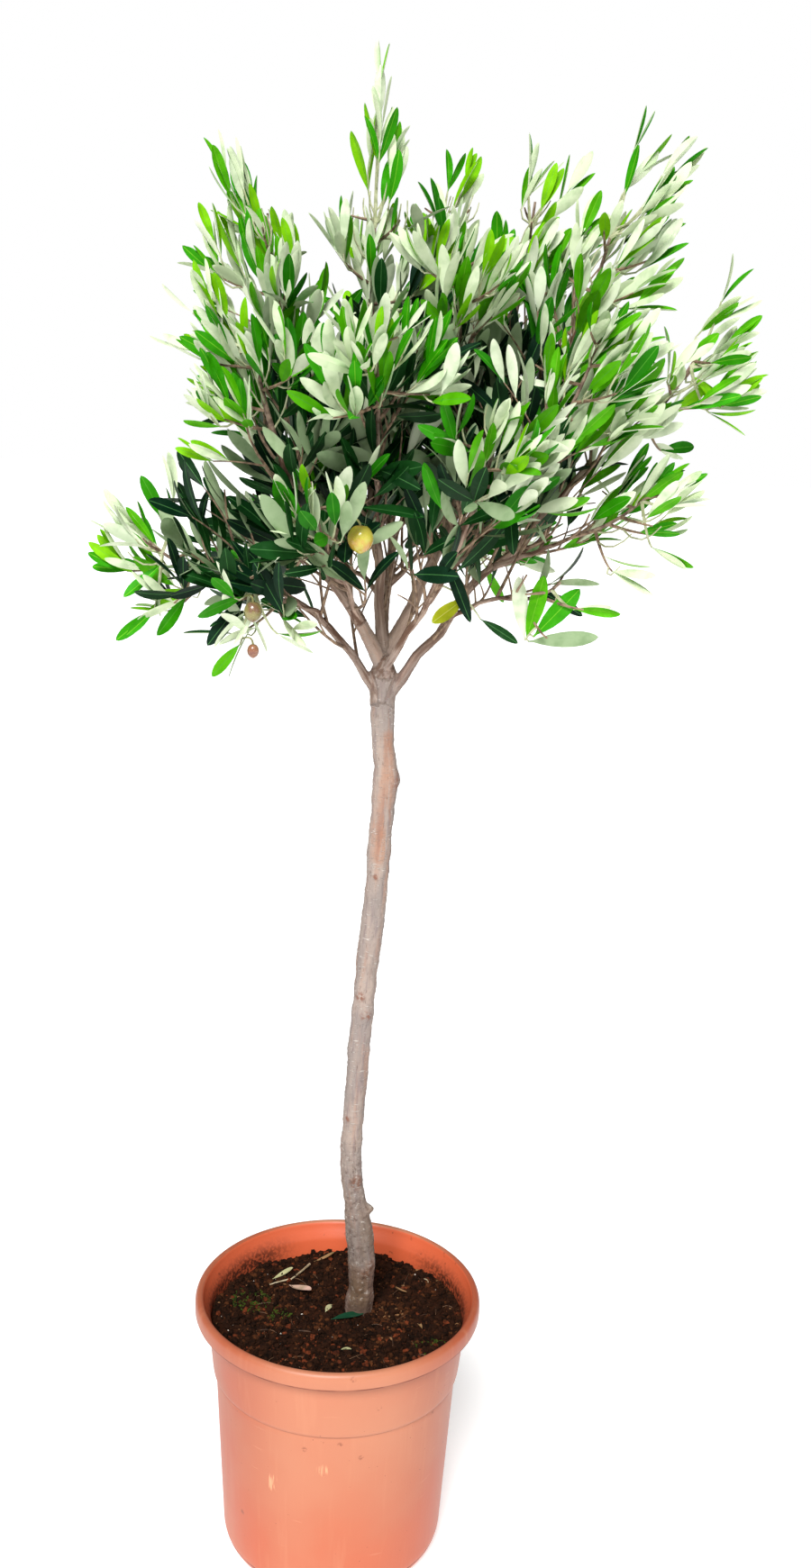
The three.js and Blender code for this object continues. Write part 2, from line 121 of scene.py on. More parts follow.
class Sock:
    """An output socket whose arithmetic adds Math nodes to its shader."""

    def __init__(self, shader: "Shader", socket: bpy.types.NodeSocket) -> None:
        """Wraps a socket of that shader."""
        self.shader = shader
        self.socket = socket

    def __add__(self, other: "Value") -> "Sock":
        """This value plus another."""
        return self.shader.maths("ADD", self, other)

    __radd__ = __add__

    def __mul__(self, other: "Value") -> "Sock":
        """This value times another."""
        return self.shader.maths("MULTIPLY", self, other)

    __rmul__ = __mul__

    def __sub__(self, other: "Value") -> "Sock":
        """This value less another."""
        return self.shader.maths("SUBTRACT", self, other)

    def __rsub__(self, other: "Value") -> "Sock":
        """Another value less this one."""
        return self.shader.maths("SUBTRACT", other, self)


Value = Union[Sock, float, Colour, Row3]


class Shader:
    """A material's node tree with one Principled shader, which the methods below add to."""

    def __init__(self, name: str, **constants: Value) -> None:
        """Makes the material.

        Args:
            name: the material's name.
            constants: values of the Principled shader's sockets, with _ for each space in a name.
        """
        self.material = bpy.data.materials.new(name)
        self.material.use_nodes = True
        self.tree = self.material.node_tree
        self.tree.nodes.clear()
        self.surface = self.node("ShaderNodeBsdfPrincipled")
        shown = Sock(self, self.port(self.surface.outputs, "BSDF"))
        self.node("ShaderNodeOutputMaterial", sockets={"Surface": shown})
        for key, value in constants.items():
            self.feed(key.replace("_", " "), value)

    def node(
        self, kind: str, settings: dict[str, Any] | None = None, sockets: dict[str | int, Value] | None = None
    ) -> bpy.types.Node:
        """Adds a node.

        Args:
            kind: the node's type.
            settings: its properties, which are set first.
            sockets: values or links for its inputs, by identifier, name or place.

        Returns:
            The node.
        """
        made = self.tree.nodes.new(kind)
        for key, value in (settings or {}).items():
            setattr(made, key, value)
        for key, value in (sockets or {}).items():
            self.plug(self.port(made.inputs, key), value)
        return made

    @staticmethod
    def port(sockets: Any, key: str | int) -> bpy.types.NodeSocket:
        """The socket with that identifier, or else with that name or place."""
        return next((s for s in sockets if s.identifier == key), None) or sockets[key]

    def plug(self, socket: bpy.types.NodeSocket, value: Value) -> None:
        """Links a value to an input, or sets the input to it."""
        if isinstance(value, Sock):
            self.tree.links.new(value.socket, socket)
        else:
            socket.default_value = value

    def feed(self, name: str, value: Value) -> None:
        """Gives the Principled shader's socket of that name a value."""
        self.plug(self.surface.inputs[name], value)

    def out(self, key: str | int, kind: str, settings: Any = None, sockets: Any = None) -> Sock:
        """One output of a node that is added, as node() does."""
        return Sock(self, self.port(self.node(kind, settings, sockets).outputs, key))

    def maths(self, operation: str, *values: Value) -> Sock:
        """A Math node on one or two numbers."""
        return self.out(0, "ShaderNodeMath", {"operation": operation}, dict(enumerate(values)))

    def place(self) -> Sock:
        """The point on the object, in metres."""
        return self.out("Object", "ShaderNodeTexCoord")

    def attribute(self, name: str, key: str = "Vector") -> Sock:
        """An attribute of the mesh, as a vector or, with key "Fac", as a number."""
        return self.out(key, "ShaderNodeAttribute", {"attribute_name": name})

    def stretched(self, vector: Sock, scale: Row3, shift: Row3 = (0.0, 0.0, 0.0)) -> Sock:
        """A vector times a scale along each axis, then moved."""
        sockets = {0: vector, 1: scale, 2: shift}
        return self.out(0, "ShaderNodeVectorMath", {"operation": "MULTIPLY_ADD"}, sockets)

    def axis(self, vector: Sock, name: str) -> Sock:
        """The "X", "Y" or "Z" part of a vector."""
        return self.out(name, "ShaderNodeSeparateXYZ", None, {0: vector})

    def radius(self, vector: Sock) -> Sock:
        """The distance of a point from the Z axis."""
        flat = self.stretched(vector, (1.0, 1.0, 0.0))
        return self.out("Value", "ShaderNodeVectorMath", {"operation": "LENGTH"}, {0: flat})

    def nearness(self, vector: Sock, centre: Row3, reach: float) -> Sock:
        """1 at a point in millimetres, fading to 0 at that reach from it."""
        ends = {0: vector, 1: tuple(v * MM for v in centre)}
        away = self.out("Value", "ShaderNodeVectorMath", {"operation": "DISTANCE"}, ends)
        return self.band(away, reach * MM, 0.3 * reach * MM)

    def noise(self, vector: Sock, scale: float = 1.0, detail: float = 3.0, rough: float = 0.5) -> Sock:
        """Noise from 0 to 1."""
        sockets = {"Vector": vector, "Scale": scale, "Detail": detail, "Roughness": rough}
        return self.out(0, "ShaderNodeTexNoise", None, sockets)

    def grained(
        self, vector: Sock, across: float, along: float, detail: float = 3.0, rough: float = 0.5,
        shift: Row3 = (0.0, 0.0, 0.0),
    ) -> Sock:
        """Noise from 0 to 1 that is finer across the Z axis than along it, or the other way round.

        Args:
            vector: the point.
            across: the noise's scale across the axis.
            along: its scale along the axis.
            detail: how many finer layers it has.
            rough: how strong those are.
            shift: where in the noise the point (0, 0, 0) lies.

        Returns:
            The noise.
        """
        return self.noise(self.stretched(vector, (across, across, along), shift), 1.0, detail, rough)

    def cells(self, vector: Sock, scale: float) -> Sock:
        """The distance from the nearest of many scattered points, in cells."""
        return self.out("Distance", "ShaderNodeTexVoronoi", None, {"Vector": vector, "Scale": scale})

    def band(self, value: Sock, start: float, end: float) -> Sock:
        """A smooth step from 0 at start to 1 at end."""
        low, high = min(start, end), max(start, end)
        sockets = {
            "Value": value, "From Min": low, "From Max": high,
            "To Min": float(start > end), "To Max": float(start < end),
        }
        return self.out(0, "ShaderNodeMapRange", {"interpolation_type": "SMOOTHSTEP"}, sockets)

    def blend(self, one: Value, other: Value, share: Value) -> Sock:
        """A colour between two, at a share of the other."""
        sockets = {"Factor_Float": share, "A_Color": one, "B_Color": other}
        return self.out("Result_Color", "ShaderNodeMix", {"data_type": "RGBA"}, sockets)

    def layered(self, colour: Value, *layers: tuple[Value, Value]) -> Value:
        """A colour with others laid over it in their order, each at its own share."""
        for over, share in layers:
            colour = self.blend(colour, over, share)
        return colour

    def bump(self, height: Value, depth: float) -> None:
        """Gives the surface a relief of that depth in millimetres."""
        sockets = {"Height": height, "Strength": 1.0, "Distance": depth * MM}
        self.feed("Normal", self.out("Normal", "ShaderNodeBump", None, sockets))


# ---- Finishes ----


@dataclass(frozen=True)
class PotPlastic:
    """Salmon plastic of a nursery pot: hazed and streaked outside, deeper and cleaner inside, with a painted
    highlight down the middle of the outside, painted shade with the soiling in its dark lines, and painted
    shade with soil smears on the inner wall's sides just over the soil.
    """

    wall: Colour = paint(166, 85, 56)
    glow: Colour = paint(192, 82, 42)
    # whitish bloom, also the colour of the painted highlight down the middle of the wall
    haze_and_highlight: Colour = paint(200, 134, 101)
    inside: Colour = paint(214, 98, 60)
    # soiling, also the colour of the painted shade in the dark lines
    grime_and_shade: Colour = paint(116, 52, 32)
    # soil smears, also painted shade on the inner wall just over the soil
    mud_and_shade: Colour = paint(60, 30, 20)
    graze: Colour = paint(236, 172, 128)
    dark_lines: tuple[float, ...] = (254.4, 191.0, 15.0)  # the heights of the dark lines, soiling and painted shade: the band's lower edge, the step and near the foot
    nicks: tuple[Row3, ...] = (
        (-23, -116, 175), (10, -118, 183), (30, -114, 167), (45, -116, 222),
        (-84, -75, 72), (21, -138, 266), (109, -38, 132), (96, -70, 186),
    )
    nick_reach: float = 3.6
    scratches: tuple[Row3, ...] = ((-54, -103, 132), (-5, -117, 154), (-53, -103, 124))
    scratch_reach: float = 8.0
    relief: float = 0.12

    def material(self, inner: Callable[["Shader", Sock], Sock]) -> Material:
        """Makes the material.

        Args:
            inner: gives the share of a point that is inside the pot.

        Returns:
            The material.
        """
        shader = Shader("pot_plastic", IOR=1.5)
        place = shader.place()
        height = shader.axis(place, "Z")
        low = shader.band(height, 0.21, 0.02)
        aside = shader.maths("ABSOLUTE", shader.axis(place, "X") - 0.01)
        # painted highlight: paler down the middle, where the wall faces front and back, fading out toward the
        # left and right edges
        lit_middle = shader.band(aside, 0.115, 0.04)
        clouds = shader.noise(place, 9.0)
        streaks = shader.grained(place, 70.0, 5.0, 4.0, 0.6)
        scuffs = shader.grained(place, 26.0, 220.0, 2.0)
        ragged = shader.band(shader.noise(place, 300.0), 0.42, 0.56)
        drawn = shader.band(shader.grained(place, 420.0, 40.0, 2.0), 0.5, 0.62)
        sparse = shader.band(shader.noise(place, 50.0, 1.0), 0.58, 0.66)
        specks = shader.band(shader.cells(place, 170.0), 0.13, 0.06) * sparse
        nicked = [shader.nearness(place, nick, self.nick_reach) for nick in self.nicks]
        scratched = [shader.nearness(place, scratch, self.scratch_reach) for scratch in self.scratches]
        dirt_and_shade = self.dirt_and_shade(shader, height, place)
        outside = shader.layered(
            self.wall,
            (self.glow, low * 0.5 + shader.band(clouds, 0.4, 0.7) * 0.25),
            # the painted highlight down the middle, weaker near the bottom
            (self.haze_and_highlight, lit_middle * (1.0 - low * 0.7) * 0.6),
            (self.haze_and_highlight, shader.band(clouds, 0.6, 0.35) * 0.2),
            (self.haze_and_highlight, shader.band(streaks, 0.5, 0.78) * 0.3),
            (self.haze_and_highlight, shader.band(scuffs, 0.7, 0.78) * 0.35),
            (self.grime_and_shade, specks * 0.7),
            *((self.grime_and_shade, share * ragged * 0.6) for share in nicked),
            *((self.graze, share * drawn * 0.6) for share in scratched),
            # the dark lines: soiling and painted shade along the band's lower edge, at the step and near the
            # foot
            (self.grime_and_shade, dirt_and_shade),
        )
        stained = shader.band(shader.noise(place, 120.0, 2.0), 0.66, 0.74)
        # soil smears and painted shade on the inner wall just over the soil, at its left and right sides
        splashed_and_shaded = shader.band(height, 0.266, 0.246) * shader.band(aside, 0.05, 0.1)
        within = shader.layered(
            self.inside, (self.grime_and_shade, stained * 0.5), (self.mud_and_shade, splashed_and_shaded * (0.45 + 0.5 * ragged))
        )
        shader.feed("Base Color", shader.blend(outside, within, inner(shader, place)))
        shader.feed("Roughness", 0.36 + 0.16 * streaks + 0.2 * dirt_and_shade)
        shader.bump(shader.noise(place, 420.0, 2.0) * 0.5 + streaks * 0.5 - specks * 0.6, self.relief)
        return shader.material

    def dirt_and_shade(self, shader: Shader, height: Sock, place: Sock) -> Sock:
        """The share of the dark lines, soiling and painted shade along the band's lower edge, at the step and
        near the foot, thicker in patches.
        """
        patchy = shader.band(shader.noise(place, 45.0), 0.35, 0.6)
        total: Value = 0.0
        for groove in self.dark_lines:
            near = shader.band(shader.maths("ABSOLUTE", height - groove * MM), 1.3 * MM, 0.4 * MM)
            total = near * 0.95 + total
        return total * (0.6 + 0.4 * patchy)


@dataclass(frozen=True)
class Earth:
    """Damp potting soil, or one kind of crumb in it."""

    name: str
    colour: Colour
    dark: Colour
    rough: float = 0.92
    grain: float = 520.0
    relief: float = 1.2

    def material(self) -> Material:
        """Makes the material."""
        shader = Shader(self.name, Roughness=self.rough, Specular_IOR_Level=0.1)
        place = shader.place()
        clods = shader.noise(place, self.grain / 5, 4.0, 0.65)
        lumpy = clods * 0.6 + shader.noise(place, self.grain, 3.0, 0.7) * 0.4
        shader.feed("Base Color", shader.blend(self.dark, self.colour, shader.band(lumpy, 0.35, 0.62)))
        shader.bump(lumpy, self.relief)
        return shader.material


@dataclass(frozen=True)
class Knot:
    """A scar or stub on the trunk: its height, its bearing from +X, its size and how proud it stands."""

    height: float
    bearing: float
    reach: float
    proud: float


@dataclass(frozen=True)
class Bark:
    """Olive bark: grey taupe with pinkish streaks, pale cross marks and a few red-brown scars; the slim limbs
    are dark brown, partly the bark's own colour and partly painted shade of the crown over them.
    """

    grey: Colour = paint(145, 133, 127)
    taupe: Colour = paint(168, 150, 139)
    pink: Colour = paint(164, 126, 108)
    pale: Colour = paint(212, 203, 194)
    cleft: Colour = paint(84, 64, 55)
    scar: Colour = paint(122, 74, 54)
    # the dark brown of slim limbs, partly painted shade of the crown over them
    young_and_shaded: Colour = paint(104, 76, 60)
    earthy: Colour = paint(92, 72, 50)
    tan: Colour = paint(198, 168, 146)
    split: Colour = paint(166, 108, 72)
    lilac: Colour = paint(126, 112, 112)
    graft: float = 297.0  # the height up to which the bark is pinker
    relief: float = 0.9
    split_reach: float = 12.5
    split_marks: tuple[Row3, ...] = (
        (32, -10, 829), (32, -10, 816), (32, -10, 802), (31, -10, 789), (31, -10, 775),
        (30, -10, 762), (29, -10, 748), (28, -10, 735), (27, -10, 721),
    )

    def material(self, scars: Sequence[tuple[Row3, float]]) -> Material:
        """Makes the material.

        Args:
            scars: the middle and the reach of each scar, in millimetres.

        Returns:
            The material.
        """
        shader = Shader("olive_bark", Roughness=0.8, Specular_IOR_Level=0.3)
        grain, place = shader.attribute("grain"), shader.place()
        height = shader.axis(place, "Z")
        stout = shader.band(shader.attribute("girth", "Fac"), 0.0030, 0.0075)
        broad = shader.grained(grain, 60.0, 16.0)
        veins = shader.grained(grain, 150.0, 18.0, shift=(3.1, 0.7, 5.2))
        streaks = shader.grained(grain, 240.0, 22.0, 4.0, 0.6, (1.7, 4.2, 0.9))
        flecks = shader.grained(grain, 210.0, 26.0, 4.0, 0.6, (8.3, 1.9, 0.4))
        fissures = shader.grained(grain, 700.0, 120.0, 4.0, 0.65)
        mottles = shader.noise(place, 230.0, 3.0, 0.62)
        marked = shader.band(shader.grained(grain, 170.0, 900.0, 1.5), 0.63, 0.69) * stout
        ragged = shader.band(shader.noise(place, 260.0), 0.38, 0.56)
        drawn = shader.band(shader.grained(grain, 230.0, 18.0), 0.34, 0.54)
        patchy = shader.band(broad, 0.3, 0.6)
        aged = shader.band(height, 0.46, 0.38)
        stout_bark = shader.layered(
            self.grey,
            (self.taupe, shader.band(broad, 0.35, 0.65)),
            (self.pink, shader.band(veins, 0.5, 0.7) * 0.5),
            (self.pink, shader.band(height, (self.graft + 4) * MM, (self.graft - 6) * MM) * 0.55),
            (self.lilac, shader.band(streaks, 0.5, 0.66) * 0.6),
            (self.pale, marked * 0.6),
            (self.cleft, shader.band(fissures, 0.42, 0.3) * 0.6),
            (self.tan, shader.band(height, 0.86, 0.95) * 0.55),
        )
        # slim limbs: dark brown, partly painted shade of the crown, flecked with the stout bark
        slim_shaded_bark = shader.blend(self.young_and_shaded, stout_bark, shader.band(flecks, 0.42, 0.62))
        splits = (shader.nearness(place, mark, self.split_reach) * drawn for mark in self.split_marks)
        healed = (shader.nearness(place, centre, reach) * ragged for centre, reach in scars)
        colour = shader.layered(
            shader.blend(slim_shaded_bark, stout_bark, stout),
            *((self.split, share * 0.42) for share in splits),
            *((self.scar, share * 0.8) for share in healed),
            (self.earthy, shader.band(height, 0.47, 0.27) * (0.4 + 0.6 * patchy) * 0.85),
            (self.pale, shader.band(mottles, 0.58, 0.72) * aged * 0.4),
            (self.cleft, shader.band(mottles, 0.46, 0.34) * aged * 0.6),
            (self.cleft, shader.band(height, 0.262, 0.243) * patchy * 0.8),
        )
        shader.feed("Base Color", colour)
        shader.bump(fissures * 0.6 + broad * 0.6 + marked * 0.5, self.relief)
        return shader.material


@dataclass(frozen=True)
class TwigSkin:
    """The thin bark of a twig."""

    name: str
    colour: Colour
    shade: Colour
    relief: float = 0.25

    def material(self) -> Material:
        """Makes the material."""
        shader = Shader(self.name, Roughness=0.7, Specular_IOR_Level=0.35)
        place = shader.place()
        mottle = shader.band(shader.noise(place, 160.0), 0.35, 0.62)
        shader.feed("Base Color", shader.blend(self.shade, self.colour, mottle))
        shader.bump(shader.noise(place, 700.0, 2.0), self.relief)
        return shader.material


@dataclass(frozen=True)
class LeafSkin:
    """One side of a leaf: its colour, how glossy it is and how much a paler bloom varies it."""

    name: str
    colour: Colour
    rough: float = 0.45
    bloom: float = 0.18
    shine: float = 0.12
    relief: float = 0.08

    def material(self) -> Material:
        """Makes the material."""
        shader = Shader(self.name, Specular_IOR_Level=self.shine)
        place = shader.place()
        red, green, blue, _ = self.colour
        paler = (red * 1.35 + 0.012, green * 1.25 + 0.012, blue * 1.35 + 0.012, 1.0)
        deeper = (red * 0.74, green * 0.8, blue * 0.72, 1.0)
        mottle = shader.noise(place, 75.0)
        bloom = shader.band(mottle, 0.52, 0.75) * (self.bloom * 4)
        colour = shader.layered(deeper, (self.colour, shader.band(mottle, 0.3, 0.55)), (paler, bloom))
        shader.feed("Base Color", colour)
        shader.feed("Roughness", self.rough + 0.15 * mottle)
        shader.bump(shader.noise(place, 300.0, 2.0), self.relief)
        return shader.material


@dataclass(frozen=True)
class FruitSkin:
    """The skin of an olive, which colours unevenly and has pale dots."""

    name: str
    colour: Colour
    blush: Colour
    dot: Colour = paint(232, 222, 160)
    relief: float = 0.1

    def material(self) -> Material:
        """Makes the material."""
        shader = Shader(self.name, Roughness=0.26, Coat_Weight=0.5)
        place = shader.place()
        blushed = shader.band(shader.noise(place, 90.0), 0.42, 0.66)
        dots = shader.band(shader.cells(place, 900.0), 0.25, 0.1)
        shader.feed("Base Color", shader.layered(self.colour, (self.blush, blushed), (self.dot, dots * 0.5)))
        shader.bump(dots, self.relief)
        return shader.material


@dataclass(frozen=True)
class Ground:
    """The studio's pale floor, lit a little from within."""

    colour: Colour = paint(248, 248, 247)
    glow: float = 0.44

    def material(self) -> Material:
        """Makes the material."""
        white = (1.0, 1.0, 1.0, 1.0)
        lit = {"Emission_Color": white, "Emission_Strength": self.glow}
        return Shader("studio_floor", Base_Color=self.colour, Roughness=0.85, **lit).material


# ---- Chance, curves and meshes ----


class Dice:
    """A multiplicative generator, which deals the same numbers as the frame's for the same seed."""

    RANGE = 2147483647

    def __init__(self, seed: int) -> None:
        """Starts the series of that seed."""
        self.state = (seed * 7919 + 104729) % self.RANGE

    def roll(self) -> float:
        """The next number, from 0 to 1."""
        self.state = self.state * 48271 % self.RANGE
        return self.state / self.RANGE

    def between(self, low: float, high: float) -> float:
        """The next number, from low to high."""
        return low + (high - low) * self.roll()


def mix(low: float, high: float, share: float) -> float:
    """The value at that share of the way."""
    return low + (high - low) * share


def unit(vector: Array) -> Array:
    """A vector, or each row of an array of them, at length 1."""
    return vector / np.maximum(np.linalg.norm(vector, axis=-1, keepdims=True), 1e-9)


def turned_to(one: Any, other: Any, angle: float) -> Any:
    """The direction at an angle from one direction toward another that is square to it."""
    return one * math.cos(angle) + other * math.sin(angle)


def aside_of(tangent: Array, angle: float, guide: Row3, nudge: float = 0.0) -> Array:
    """The direction that stands off a tangent at an angle round it.

    Args:
        tangent: the unit vector that is turned about.
        angle: the angle in radians, counted from the direction across both tangent and guide.
        guide: any direction but the tangent's own.
        nudge: what is added to each part, so that even the guide's own direction gives an answer.

    Returns:
        The direction, at length 1.
    """
    across = unit(np.cross(tangent, guide) + nudge)
    return turned_to(across, np.cross(tangent, across), angle)


def smooth_step(value: float, low: float, high: float) -> float:
    """0 up to low, 1 from high on, and smooth between them."""
    share = np.clip((value - low) / (high - low), 0, 1)
    return share * share * (3 - 2 * share)


def bezier(controls: Sequence[Array], count: int) -> Array:
    """Evenly timed points on a Bezier curve, by de Casteljau's rule."""
    time = np.linspace(0, 1, count)[:, None]
    points = [np.broadcast_to(control, (count, 3)) for control in controls]
    while len(points) > 1:
        points = [one + (other - one) * time for one, other in zip(points, points[1:])]
    return points[0]


class Course:
    """A curve through space, as evenly timed points."""

    def __init__(self, points: Array) -> None:
        """Measures the way along the points."""
        self.points = points
        steps = np.linalg.norm(np.diff(points, axis=0), axis=1)
        self.reach = np.concatenate(([0.0], np.cumsum(steps)))
        self.length = float(self.reach[-1])

    def at(self, time: float) -> Array:
        """The point at a time from 0 to 1."""
        place = time * (len(self.points) - 1)
        return np.array([np.interp(place, np.arange(len(self.points)), column) for column in self.points.T])

    def after(self, distance: float) -> Array:
        """The point that far along."""
        return np.array([np.interp(distance, self.reach, column) for column in self.points.T])

    def heading(self, distance: float) -> Array:
        """The direction that far along."""
        span = 0.02 * self.length
        return unit(self.after(min(distance + span, self.length)) - self.after(max(distance - span, 0)))

    def frames(self) -> tuple[Array, Array, Array]:
        """The heading and two crosswise directions at each point, carried along without twisting."""
        tangents = unit(np.gradient(self.points, axis=0))
        least = np.eye(3)[np.argmin(np.abs(tangents[0]))]
        across = [unit(np.cross(tangents[0], least))]
        for tangent in tangents[1:]:
            across.append(unit(across[-1] - tangent * np.dot(across[-1], tangent)))
        first = np.array(across)
        return tangents, first, np.cross(tangents, first)


class Solid:
    """Vertices and faces that many small shapes are gathered in, each with its finish's number."""

    def __init__(self) -> None:
        """Starts empty."""
        self.vertices: list[Array] = []
        self.faces: list[list[int]] = []
        self.finishes: list[int] = []
        self.count = 0

    def add(
        self, vertices: Array, faces: Sequence[Sequence[int]], finishes: int | Sequence[int]
    ) -> None:
        """Adds one shape.

        Args:
            vertices: its points in millimetres.
            faces: its faces, each a list of places in vertices.
            finishes: the number of its finish, or one for each face.
        """
        self.vertices.append(vertices)
        self.faces.extend([self.count + i for i in face] for face in faces)
        self.finishes.extend([finishes] * len(faces) if isinstance(finishes, int) else finishes)
        self.count += len(vertices)

    def build(self, name: str, materials: Sequence[Material], crease: float = 50.0) -> Piece:
        """Makes the object.

        Args:
            name: the object's name.
            materials: the finishes, in the order of their numbers.
            crease: the angle in degrees over which an edge stays sharp.

        Returns:
            The object.
        """
        mesh = bpy.data.meshes.new(name)
        mesh.from_pydata((np.concatenate(self.vertices) * MM).tolist(), [], self.faces)
        for material in materials:
            mesh.materials.append(material)
        mesh.polygons.foreach_set("material_index", self.finishes)
        made = bpy.data.objects.new(name, mesh)
        bpy.context.collection.objects.link(made)
        shade(made, crease)
        return made


def select_only(*pieces: Piece) -> None:
    """Makes objects the only selected ones, and the first of them the active one."""
    bpy.ops.object.select_all(action="DESELECT")
    for piece in pieces:
        piece.select_set(True)
    bpy.context.view_layer.objects.active = pieces[0]


def joined(*pieces: Piece) -> Piece:
    """Objects joined into the first of them."""
    select_only(*pieces)
    bpy.ops.object.join()
    return pieces[0]


def coat(piece: Piece, material: Material) -> None:
    """Makes a material the only one of an object."""
    piece.data.materials.clear()
    piece.data.materials.append(material)


def shade(piece: Piece, crease: float) -> None:
    """Smooths an object's shading, but not over edges sharper than crease, in degrees."""
    select_only(piece)
    bpy.ops.object.shade_smooth_by_angle(angle=math.radians(crease))


def finish_modifiers(piece: Piece) -> None:
    """Applies an object's modifiers, in order."""
    select_only(piece)
    for modifier in list(piece.modifiers):
        bpy.ops.object.modifier_apply(modifier=modifier.name)


def turned(name: str, profile: Sequence[Span], segments: int) -> Piece:
    """A disc that is extruded from ring to ring along a profile, and closed by its last ring's disc.

    Args:
        name: the object's name.
        profile: the radius and height of each ring, in millimetres.
        segments: the number of sides.

    Returns:
        The object, with its origin on the axis at height 0.
    """
    radius, height = profile[0]
    bpy.ops.object.select_all(action="DESELECT")
    bpy.ops.mesh.primitive_circle_add(vertices=segments, radius=radius * MM, fill_type="NGON")
    made = bpy.context.object
    made.name = made.data.name = name
    bpy.ops.object.mode_set(mode="EDIT")
    bpy.ops.mesh.select_all(action="SELECT")
    bpy.ops.transform.translate(value=(0, 0, height * MM))
    for ring, level in profile[1:]:
        bpy.ops.mesh.extrude_region_move(TRANSFORM_OT_translate={"value": (0, 0, (level - height) * MM)})
        bpy.ops.transform.resize(value=(ring / radius, ring / radius, 1), center_override=(0, 0, level * MM))
        radius, height = ring, level
    bpy.ops.mesh.select_all(action="SELECT")
    bpy.ops.mesh.normals_make_consistent(inside=False)
    bpy.ops.object.mode_set(mode="OBJECT")
    return made


def points_of(piece: Piece) -> Array:
    """The vertices of an object's mesh, in millimetres."""
    flat = np.zeros(3 * len(piece.data.vertices))
    piece.data.vertices.foreach_get("co", flat)
    return flat.reshape(-1, 3) / MM


def place_points(piece: Piece, points: Array) -> None:
    """Moves the vertices of an object's mesh to points in millimetres."""
    piece.data.vertices.foreach_set("co", (points * MM).ravel())
    piece.data.update()


def tube(course: Course, radius: Callable[[float], float], rings: int, sides: int) -> tuple[Array, list]:
    """A closed tapering tube along a curve.

    Args:
        course: the curve.
        radius: the radius at each share of its length.
        rings: the number of rings along it.
        sides: the number of corners in a ring.

    Returns:
        The tube's points and faces.
    """
    shares = np.linspace(0, 1, rings)
    line = Course(np.array([course.after(share * course.length) for share in shares]))
    _, first, second = line.frames()
    turns = np.arange(sides) * 2 * math.pi / sides
    ring = np.cos(turns)[None, :, None] * first[:, None] + np.sin(turns)[None, :, None] * second[:, None]
    radii = np.array([radius(share) for share in shares])[:, None, None]
    points = (line.points[:, None] + ring * radii).reshape(-1, 3)
    faces = [
        [k * sides + i, k * sides + (i + 1) % sides, (k + 1) * sides + (i + 1) % sides, (k + 1) * sides + i]
        for k in range(rings - 1)
        for i in range(sides)
    ]
    last = (rings - 1) * sides
    return points, faces + [list(range(sides))[::-1], list(range(last, last + sides))]


# ---- Growth ----


@dataclass(frozen=True)
class BoughRow:
    """A bough and its mass.

    It gives the bough's parent and where it leaves it, its rise in degrees and its thickness at both ends;
    then the mass's centre, its radius and the tips of its leaders, how high its other leaves may stand over
    its centre and how far out its sprigs may end, as shares of its radius, and how thickly it bears them.
    """

    name: str
    parent: str
    at: float
    rise: float
    thick: Span
    centre: Row3
    radius: float
    leaders: tuple[Row3, ...] = ()
    ceiling: float = 0.9
    fill: float = 0.8
    density: float = 1.0


